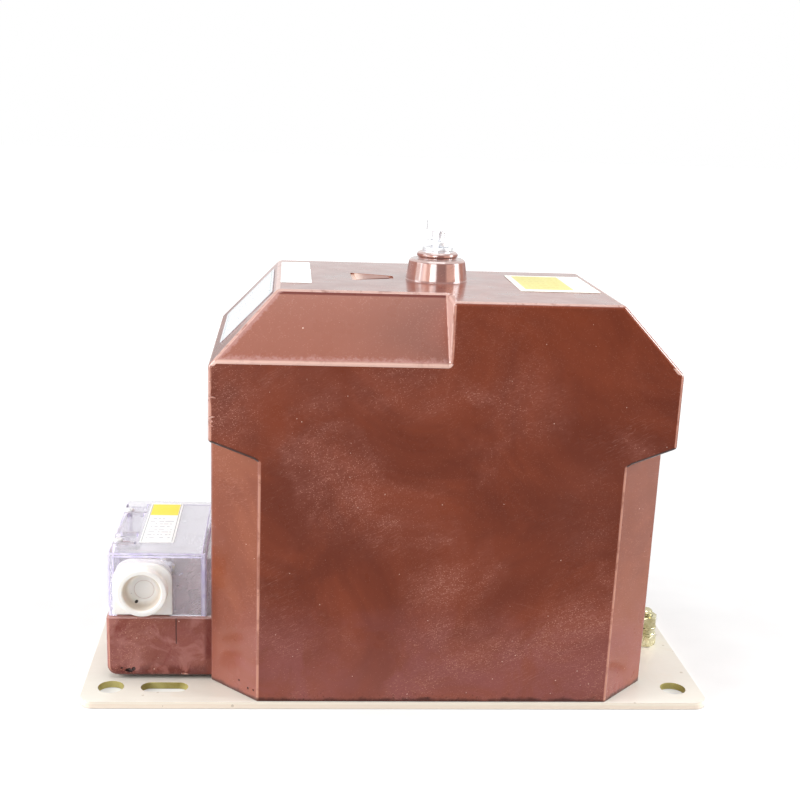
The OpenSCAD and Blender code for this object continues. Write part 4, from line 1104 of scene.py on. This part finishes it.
    @staticmethod
    def boss():
        """Turned boss with a rounded shoulder and a grooved neck."""
        top, neck = BOSS_SHOULDER - BODY_TOP, NECK_TOP - BODY_TOP
        outline = [(16.0, -3.0), (18.2, -3.0), (17.8, 0.1), (17.45, 0.8), (16.0, top - 1.2), (14.8, top),
                   (10.9, top), (10.7, top + 0.9), (11.7, top + 1.6), (11.5, neck - 0.9), (10.4, neck),
                   (9.0, neck)]
        piece = turned("boss", arcs(outline, 1.2, 5), (BODY_MIDDLE, BOSS_Y, BODY_TOP), 96)
        return dress(piece, resin("polished resin", 1.0))


class TRANSFORMER_OT_base_plate(bpy.types.Operator):
    """Plated base plate with rounded corners, fixing holes and slots"""

    bl_idname = "transformer.base_plate"
    bl_label = "Base plate"

    def execute(self, context):
        # The hole walls are the same plating as the top, painted darker and more olive as shade
        wall = metal("hole wall", tone(196, 186, 120), tone(150, 136, 70), 0.4, metallic=0.55)
        plate = dress(round_edges(block("plate", PLATE_LOW, PLATE_HIGH), upright, 8.0, 8), plated_sheet())
        sides = [(x, y) for x in (-1, 1) for y in (-1, 1)]
        above = PLATE_TOP + PAST
        tools = [turned("hole", [(FIXING_HOLE / 2, -PAST), (FIXING_HOLE / 2, above)],
                        (x * FIXING_X, y * FIXING_Y, 0), 48) for x, y in sides]
        for y in (-1, 1):
            slot = block("slot", (SLOT_X - SLOT_LENGTH / 2, y * FIXING_Y - SLOT_WIDTH / 2, -PAST),
                         (SLOT_X + SLOT_LENGTH / 2, y * FIXING_Y + SLOT_WIDTH / 2, above))
            tools.append(round_edges(slot, upright, SLOT_WIDTH / 2 - 0.01, 12))
        for x, y in sides:
            tools.append(turned("countersink", [(6.2, -PAST), (6.2, 0.3), (3.3, 3.2), (3.3, above)],
                                (BODY_MIDDLE + x * BASE_SCREW_X, y * BASE_SCREW_Y, 0), 40))
        tools.append(turned("stud hole", [(6.6, -PAST), (6.6, 1.65), (4.1, 1.65), (4.1, above)],
                            (EARTH_X, EARTH_Y, 0), 40))
        for tool in tools:
            combine(plate, dress(tool, wall))
        smooth(ease(tidy_faces(plate), 0.35, 2, 50), 30)
        ready(plate, "zinc_plate", "base_plate")
        return {"FINISHED"}


class TRANSFORMER_OT_cover(bpy.types.Operator):
    """Clear terminal cover with its wells, pocket, posts and rib"""

    bl_idname = "transformer.cover"
    bl_label = "Terminal cover"

    def execute(self, context):
        low, high = COVER_LOW, COVER_HIGH
        first, last = COVER_SCREWS_Y
        half, well_end, well_floor = 7.25, low.x + 14.0, high.z - 2.5
        cover = block("clear_cover", low, high)
        round_edges(cover, lambda e: upright(e) or middle(e).z > high.z - 0.1,
                    context.scene.transformer_cover.edge / MM, 4)
        inside = block("inside", (low.x + WALL, low.y + WALL, low.z - PAST),
                       (high.x - WALL, high.y - WALL, high.z - WALL))
        round_edges(inside, lambda e: upright(e) or middle(e).z > high.z - WALL - 0.1, 0.8, 2)
        combine(cover, inside)
        rib_x = GLAND_X + GLAND_WIDTH / 2 + 0.7
        added = [("crown", (low.x + WALL / 2, first - half - WALL, high.z - 5.1),
                  (well_end + WALL, last + half + WALL, high.z - WALL / 2))]
        added += [("post", (low.x + WALL / 2, y - 5, low.z), (low.x + 9.5, y + 5, high.z - WALL))
                  for y in COVER_SCREWS_Y]
        added += [("rib", (rib_x, low.y + WALL / 2, low.z + 2),
                   (rib_x + 1.2, low.y + WALL + 2.5, low.z + 24))]
        for name, one, other in added:
            combine(cover, block(name, one, other), "UNION")
        for y in COVER_SCREWS_Y:
            well = block("well", (low.x - PAST, y - half, well_floor), (well_end, y + half, high.z + PAST))
            combine(cover, round_edges(well, lambda e: upright(e) and middle(e).x > low.x + 5, 1.2, 3))
            hole = [(1.7, low.z - PAST), (1.7, high.z)]
            combine(cover, turned("screw hole", hole, (COVER_SCREW_X, y, 0), 24))
        pocket = block("pocket", (low.x + 3, first + half + WALL, well_floor),
                       (well_end - 0.5, last - half - WALL, high.z + PAST))
        combine(cover, round_edges(pocket, upright, 1.2, 3))
        combine(cover, arch("opening", 29.3, 28.65, 8.5, (GLAND_X, low.y - PAST, low.z - PAST), 5.2 + PAST))
        # Two flakes stuck to the front wall
        for x, z, size in ((-122.8, 68.4, (1.5, 0.35, 0.5)), (-126.6, 73.8, (0.6, 0.35, 0.6))):
            combine(cover, chip_tool((x, low.y, z), size, (0, -25, 0)), "UNION")
        smooth(ease(tidy_faces(cover), 0.18, 2, 40), 35)
        dress(cover, clear_plastic(), edge_plastic())
        # The ends of the front wall take the same painted lavender light as the edges, so its face is parted
        # there
        ends = low.x + WALL / 2, high.x - WALL
        for x in ends:
            edit(cover)
            bpy.ops.mesh.select_all(action="SELECT")
            bpy.ops.mesh.bisect(plane_co=(x * MM, 0, 0), plane_no=(1, 0, 0))
            done()
        for face in cover.data.polygons:
            over = face.center.x > ends[1] * MM or face.center.x < ends[0] * MM
            front = face.normal.y < -0.9 and face.center.y < (low.y + 1) * MM
            if max(abs(c) for c in face.normal) < 0.97 or (front and over):
                face.material_index = 1
        ready(cover, "clear_cover", "box_cover")

        for index, y in enumerate(COVER_SCREWS_Y):
            screw = cover_screw("cover_screw_%d" % (index + 1), (COVER_SCREW_X, y, high.z - 2.45),
                                40 + 65 * index)
            screw.data.materials.append(bright_metal())
            ready(screw, "bright_metal")
            if index == 0:
                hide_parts("cover_screws")
        return {"FINISHED"}


def arch(name, width, height, shoulder, at, depth):
    """Block with round shoulders, its foot's middle at a point, running towards +Y."""
    x, y, z = at
    piece = block(name, (x - width / 2, y, z), (x + width / 2, y + depth, z + height))

    def shoulder_edge(edge):
        a, b = edge.verts
        return abs(a.co.y - b.co.y) > 0.9 * (a.co - b.co).length and middle(edge).z > z + height - 0.1

    return round_edges(piece, shoulder_edge, shoulder, 12)


def cover_screw(name, centre, turn):
    """Small pan-head screw with a slot and a shank down to its insert."""
    x, y, z = centre
    head = arcs([(2.79, 0), (2.8, 1.2), (2.2, 2.0), (0.6, 2.05)], 0.5, 3)[1:]
    piece = turned(name, [(1.5, -43.0), (1.5, -0.02), (2.6, 0.0)] + head, centre, 40)
    slot = block("slot", (x - 3.5, y - 0.4, z + 1.1), (x + 3.5, y + 0.4, z + 3.2))
    combine(piece, tilt(slot, centre, (0, 0, turn)))
    return smooth(ease(piece, 0.08, 2, 45), 35)


class TRANSFORMER_OT_gland(bpy.types.Operator):
    """Cream rubber cable gland with its ring, throat and membrane"""

    bl_idname = "transformer.gland"
    bl_label = "Cable gland"

    def execute(self, context):
        front = COVER_LOW.y
        lip = arch("cable_gland_body", GLAND_WIDTH, GLAND_HEIGHT, 10.5, (GLAND_X, front - 1.85, GLAND_Z), 1.8)
        ease(lip, 0.55, 3, 50)
        neck = arch("neck", 29.0, 28.5, 8.5, (GLAND_X, front - 0.9, GLAND_Z), WALL + 1.8)
        back = arch("back", 32.0, 31.5, 10.0, (GLAND_X, front + WALL + 0.05, GLAND_Z), 1.8)
        ease(back, 0.4, 2, 50)
        combine(lip, neck, "UNION")
        combine(lip, back, "UNION")
        ring = arcs([(12.0, 1.0), (15.0, 1.0), (14.05, -2.2), (14.0, -6.5), (11.0, -6.5)], 0.9, 4)
        throat = arcs([(11.6, -8.0), (11.3, -6.6), (10.6, -5.4), (9.6, -2.2), (7.6, 0.6), (7.0, 0.9),
                       (4.0, 0.9)], 0.7, 4)
        rear = [(6.5, 6.0), (6.5, 2.1), (3.0, 2.1)]
        # Scored circle where the membrane is pushed out
        score = [(5.8, 0.8), (6.05, 0.8), (6.05, 1.1), (5.8, 1.1)]
        on_wall = (Matrix.Translation(Vector((GLAND_X, front, GLAND_RING_Z)) * MM)
                   @ Matrix.Rotation(math.radians(-90), 4, "X"))
        for name, outline, sides, change in (
                ("ring", ring, 96, "UNION"), ("throat", throat, 96, "DIFFERENCE"),
                ("rear", rear, 64, "DIFFERENCE"), ("score", score, 64, "DIFFERENCE")):
            piece = turned(name, outline, (0, 0, 0), sides, hollow=name == "score")
            piece.matrix_world = on_wall
            combine(lip, settle(piece), change)
        lip.name = "gland"
        smooth(dress(tidy_faces(lip), rubber()), 30)
        ready(lip, "cream_rubber", "cable_gland")
        return {"FINISHED"}


class TRANSFORMER_OT_line_terminal(bpy.types.Operator):
    """High voltage terminal: flat washer, leaning spring washer and hexagon screw"""

    bl_idname = "transformer.line_terminal"
    bl_label = "High voltage terminal"

    def execute(self, context):
        pitch = context.scene.transformer_metal.thread_pitch / MM
        centre = (BODY_MIDDLE, BOSS_Y, 0)
        seat = NECK_TOP + 0.65
        flat = washer("hv_washer", 17.4, 8.6, 2.0, (BODY_MIDDLE, BOSS_Y, seat), 0.35)
        spring = spring_washer("hv_spring", 12.8, 9.0, 2.0, (BODY_MIDDLE, BOSS_Y, seat + 3.15), 0.5, 35)
        tilt(spring, (BODY_MIDDLE, BOSS_Y, seat + 4.15), (0, 10, 0))
        shank = threaded("hv_shank", 4.0, pitch, NECK_TOP - 16.0, 258.3, centre, 0.4)
        cap = hexagon("hv_head", 13.0, 257.9, 263.4, centre, 0, lower_chamfer=False)
        combine(cap, shank, "UNION")
        cap.name = "hv_screw_bright"
        smooth(cap, 30)
        for piece, node in ((flat, "hv_flat_washer"), (spring, "hv_spring_washer"), (cap, "hv_screw")):
            ready(dress(piece, bright_metal()), "bright_metal", node)
        return {"FINISHED"}


class TRANSFORMER_OT_earth_terminal(bpy.types.Operator):
    """Earth stud with its nuts, washers and spring washer"""

    bl_idname = "transformer.earth_terminal"
    bl_label = "Earth terminal"

    def execute(self, context):
        settings = context.scene.transformer_metal
        yellow = metal("yellow zinc", settings.chromate, tone(170, 160, 112), 0.2, metallic=0.8)
        centre = (EARTH_X, EARTH_Y, 0)
        stud = threaded("earth_stud_thread", 4.0, settings.thread_pitch / MM, 1.0, 27.0, centre, 0.8)
        combine(stud, turned("foot", [(6.5, 0.0), (6.5, 1.6), (3.2, 1.6)], centre, 40), "UNION")
        smooth(stud, 28)
        clamp = hexagon("earth_nut_low", 13.0, 4.05, 10.85, centre, 12, bore=8.1)
        top = hexagon("earth_nut_top", 13.0, 16.65, 23.45, centre, 38, bore=8.1)
        washers = [washer("earth_washer", 14.0, 8.5, 1.6, (EARTH_X, EARTH_Y, z), 0.3) for z in (10.9, 15.0)]
        pile = join(washers, "earth_washer_pile")
        spring = spring_washer("earth_spring", 12.8, 8.5, 2.4, (EARTH_X, EARTH_Y, 12.55), 0.0, 200)
        for piece, node in ((stud, "earth_stud"), (clamp, "earth_clamp_nut"), (top, "earth_top_nut"),
                            (pile, "earth_washers"), (spring, "earth_spring_washer")):
            ready(dress(piece, yellow), "yellow_zinc", node)
        return {"FINISHED"}


def label(name, low, high, corner):
    return round_edges(block(name, low, high), upright, corner, 4)


class TRANSFORMER_OT_labels(bpy.types.Operator):
    """Printed labels and the rating plate, with plain colour fields and no words"""

    bl_idname = "transformer.labels"
    bl_label = "Labels"

    def execute(self, context):
        rule = tone(120, 122, 130)
        low, high = (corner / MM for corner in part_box("cover_label"))
        cover_print = dress(label("cover_print", low, high, 0.8), printed(
            "cover print",
            [((low.x + 1.35, 18.0), (high.x - 1.6, 38.0), tone(252, 222, 60)),
             ((low.x + 0.9, low.y + 1), (low.x + 1.25, high.y - 1.5), rule),
             ((high.x - 1.4, low.y + 1), (high.x - 1.05, high.y - 1.5), rule)],
            [((low.x + 2.6, low.y + 4), (high.x - 3.0, 15.0), 4.6, tone(176, 178, 186))]))
        low, high = (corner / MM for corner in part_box("top_label_left"))
        left_print = dress(label("top_print_left", low, high, 1.5), printed(
            "left print", [], [((low.x + 3, low.y + 6), (high.x - 3, high.y - 6), 6.0, tone(226, 228, 230))]))
        low, high = (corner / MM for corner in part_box("top_label_right"))
        right_print = dress(label("top_print_right", low, high, 1.5), printed(
            "right print", [((65.0, -26.5), (92.0, 23.0), tone(212, 203, 123))],
            [((93.5, -26.0), (103.0, 22.0), 9.0, tone(206, 208, 204)),
             ((69.0, -22.0), (88.0, 19.0), 7.0, tone(200, 186, 104))], tone(250, 248, 238)))
        for piece, slot, node in ((cover_print, "label_white", "cover_label"),
                                  (left_print, "label_white", "top_label_left"),
                                  (right_print, "label_yellow", "top_label_right"),
                                  (self.rating_plate(), "plate_metal", "rating_plate")):
            ready(smooth(ease(piece, 0.06, 1, 50), 30), slot, node)
        return {"FINISHED"}

    @staticmethod
    def rating_plate():
        """Thin metal plate on the sloping left end."""
        run, drop = LEFT_SLOPE
        slope, angle = math.hypot(run, drop), math.degrees(math.atan2(drop, run))
        wide, half, lift, thick = 40.0, 44.0, 0.05, 0.5
        start = -wide - (slope - wide) * 0.35
        piece = label("rating_plate_metal", (start, -half, lift), (start + wide, half, lift + thick), 1.5)
        origin = (BODY_LEFT + run, BOSS_Y, BODY_TOP)
        piece.matrix_world = (Matrix.Translation(Vector(origin) * MM)
                              @ Matrix.Rotation(math.radians(-angle), 4, "Y"))
        line, pale = tone(150, 168, 160), tone(206, 212, 214)
        x0, x1, y0, y1 = start + 1.6, start + wide - 1.6, 2 - half, half - 2
        border = [((x0, y0), (x1, y0 + 0.5), line), ((x0, y1 - 0.5), (x1, y1), line),
                  ((x0, y0), (x0 + 0.5, y1), line), ((x1 - 0.5, y0), (x1, y1), line)]
        return dress(settle(piece), printed(
            "rating plate print", border, [((x0 + 3, y0 + 4), (x1 - 3, y1 - 4), 5.2, pale)],
            tone(194, 196, 202), 0.32, origin, -angle))


class TRANSFORMER_OT_inner_parts(bpy.types.Operator):
    """Finishes of the core, windings, leads, inserts and terminals inside"""

    bl_idname = "transformer.inner_parts"
    bl_label = "Inner parts"

    def execute(self, context):
        bright = bright_metal()
        brass = metal("brass", tone(206, 172, 96), tone(170, 132, 62), 0.28, metallic=1.0)
        strip = inner_finish("core strip", tone(150, 152, 158), tone(112, 114, 122), 0.38, 0.8, 900.0)
        band = metal("band steel", tone(182, 184, 190), tone(140, 142, 150), 0.34, metallic=0.95)
        board = inner_finish("pressboard", tone(206, 172, 120), tone(180, 144, 94), 0.8)
        former = inner_finish("former board", tone(226, 206, 164), tone(204, 182, 138), 0.75)
        thick = inner_finish("thick copper", tone(196, 118, 72), tone(160, 88, 52), 0.34, 0.85, 380.0)
        thin = inner_finish("thin copper", tone(176, 94, 56), tone(142, 70, 40), 0.4, 0.75, 1400.0)
        paper = inner_finish("insulating paper", tone(236, 222, 182), tone(216, 198, 152), 0.7, 0.0, 260.0)
        foil = inner_finish("screen foil", tone(214, 150, 104), tone(186, 120, 78), 0.24, 0.95)
        red = inner_finish("red lead", tone(170, 58, 44), tone(140, 42, 34), 0.45)
        blue = inner_finish("blue lead", tone(52, 86, 150), tone(38, 64, 118), 0.45)
        green = inner_finish("green lead", tone(120, 160, 62), tone(176, 170, 60), 0.45)
        zinc = metal("zinc screw", tone(214, 208, 170), tone(180, 170, 120), 0.32)
        finishes = {
            "core_left": strip, "core_right": strip, "core_band": band, "core_wedges": board,
            "coil_former": former, "secondary_winding": thick, "layer_insulation": paper,
            "residual_winding": thick, "main_insulation": paper, "primary_winding": thin,
            "hv_screen": foil, "hv_lead": thick, "winding_leads": red, "neutral_lead": blue,
            "earth_lead": green, "hv_insert": bright, "terminal_inserts": brass,
            "terminal_washers": bright, "terminal_screws": bright, "earth_link": brass,
            "cover_inserts": brass, "base_inserts": brass, "base_screws": zinc,
        }
        for node, finish in finishes.items():
            dress(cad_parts[node], finish)
        return {"FINISHED"}


class TRANSFORMER_OT_stage(bpy.types.Operator):
    """Pale floor, white surroundings, soft lamps and the camera"""

    bl_idname = "transformer.stage"
    bl_label = "Stage"

    def execute(self, context):
        settings = context.scene.transformer_stage
        self.floor(settings)
        self.surroundings(context.scene)
        for name, place, aim, size, power in (
                ("overhead lamp", (-0.4, -0.49, 1.35), (-0.4, 0.0, 0.15), (1.15, 0.6), 1.0),
                ("ceiling lamp", (0.0, -0.15, 1.6), (0.0, -0.05, 0.12), (1.0, 0.6), 13.0),
                ("left lamp", (-1.45, -0.2, 0.62), (0.0, 0.0, 0.12), (0.7, 1.0), 21.0),
                ("left front lamp", (-1.3, -0.75, 0.5), (0.0, 0.0, 0.12), (0.7, 0.8), 7.5),
                ("right lamp", (1.45, -0.2, 0.62), (0.0, 0.0, 0.12), (0.7, 1.0), 27.0),
                ("reflection card", (-0.42, -1.22, 0.50), (0.0, 0.0, 0.23), (0.55, 0.8), 16.0)):
            lamp = self.lamp(name, place, aim, size, power * settings.lamps)
        # The card shows only in glossy pieces, as the pale band on the boss
        lamp.visible_diffuse = lamp.visible_transmission = False
        self.camera(context.scene, settings)
        context.scene.view_settings.view_transform = "Standard"
        return {"FINISHED"}

    @staticmethod
    def floor(settings):
        deselect()
        bpy.ops.mesh.primitive_plane_add(size=12, location=(0, 0, -0.3 * MM))
        floor = settle(bpy.context.object)
        floor.name = "floor"
        paint = Finish("pale floor")
        grain = noise(paint.place, 30.0, 3.0)
        paint.colour = blend(grain.ramp(0.3, 0.7), (0.50, 0.50, 0.50, 1.0), settings.floor)
        path = put(paint.tree, "LightPath").outputs
        seen = Level(path["Is Camera Ray"]).either(path["Is Transmission Ray"])
        level = seen * vectors("LENGTH", paint.place).ramp(0.35, 1.3, 0.32, 1.0)
        level += Level(path["Is Glossy Ray"]) * 0.2
        glow = put(paint.tree, "Emission", {"Color": (1, 1, 1, 1), "Strength": level}).outputs[0]
        paint.show(put(paint.tree, "AddShader", {0: paint.shader.outputs[0], 1: glow}))
        dress(floor, paint.done({"Roughness": 0.8, "Specular IOR Level": 0.1}))

    @staticmethod
    def surroundings(scene):
        world = bpy.data.worlds.new("white surroundings")
        scene.world = world
        world.use_nodes = True
        tree = world.node_tree
        path = put(tree, "LightPath").outputs
        seen = Level(path["Is Glossy Ray"]).either(path["Is Transmission Ray"]).either(path["Is Camera Ray"])
        strength = seen.ramp(0.0, 1.0, 0.30, 1.0)
        fill(tree, tree.nodes["Background"], {"Color": (1, 1, 1, 1), "Strength": strength})

    @staticmethod
    def lamp(name, place, aim, size, power):
        deselect()
        bpy.ops.object.light_add(type="AREA", location=place)
        lamp = bpy.context.object
        lamp.name = name
        lamp.data.shape, lamp.data.size, lamp.data.size_y = "RECTANGLE", size[0], size[1]
        lamp.data.energy = power
        lamp.rotation_euler = (Vector(aim) - Vector(place)).to_track_quat("-Z", "Y").to_euler()
        return lamp

    @staticmethod
    def camera(scene, settings):
        """Camera fitted to the photograph's view."""
        deselect()
        bpy.ops.object.camera_add()
        camera = bpy.context.object
        camera.name = "camera"
        yaw, pitch, roll = (math.radians(angle) for angle in CAMERA_TURNS)
        camera.matrix_world = (
            Matrix.Translation(Vector(CAMERA_PLACE) * MM) @ Matrix.Rotation(yaw, 4, "Z")
            @ Matrix.Rotation(pitch, 4, "X") @ Matrix.Rotation(roll, 4, "Z"))
        camera.data.sensor_width, camera.data.lens = SENSOR, settings.lens
        camera.data.shift_x, camera.data.shift_y = settings.shift
        scene.camera = camera


PIECES = (
    TRANSFORMER_OT_stage, TRANSFORMER_OT_casting, TRANSFORMER_OT_base_plate, TRANSFORMER_OT_cover,
    TRANSFORMER_OT_gland, TRANSFORMER_OT_line_terminal, TRANSFORMER_OT_earth_terminal,
    TRANSFORMER_OT_labels, TRANSFORMER_OT_inner_parts)


class TRANSFORMER_PT_panel(bpy.types.Panel):
    """Lists the pieces, with the sizes and colours that can be changed"""

    bl_idname = "TRANSFORMER_PT_panel"
    bl_label = "Voltage transformer"
    bl_space_type = "VIEW_3D"
    bl_region_type = "UI"
    bl_category = "Transformer"

    def draw(self, context):
        for group in ("transformer_casting", "transformer_metal", "transformer_cover", "transformer_stage"):
            box = self.layout.box()
            settings = getattr(context.scene, group)
            for name in settings.bl_rna.properties.keys():
                if name not in ("rna_type", "name"):
                    box.prop(settings, name)
        for piece in PIECES:
            self.layout.operator(piece.bl_idname)


GROUPS = {
    "transformer_casting": CastingSettings, "transformer_metal": MetalSettings,
    "transformer_cover": CoverSettings, "transformer_stage": StageSettings}


def register():
    for kind in (*GROUPS.values(), *PIECES, TRANSFORMER_PT_panel):
        bpy.utils.register_class(kind)
    for name, kind in GROUPS.items():
        setattr(bpy.types.Scene, name, PointerProperty(type=kind))


def unregister():
    for name in GROUPS:
        delattr(bpy.types.Scene, name)
    for kind in reversed((*GROUPS.values(), *PIECES, TRANSFORMER_PT_panel)):
        bpy.utils.unregister_class(kind)


def main():
    register()
    bpy.ops.transformer.stage()
    bpy.ops.transformer.casting()
    bpy.ops.transformer.base_plate()
    bpy.ops.transformer.cover()
    bpy.ops.transformer.gland()
    bpy.ops.transformer.line_terminal()
    bpy.ops.transformer.earth_terminal()
    bpy.ops.transformer.labels()
    bpy.ops.transformer.inner_parts()


if __name__ == "__main__":
    main()
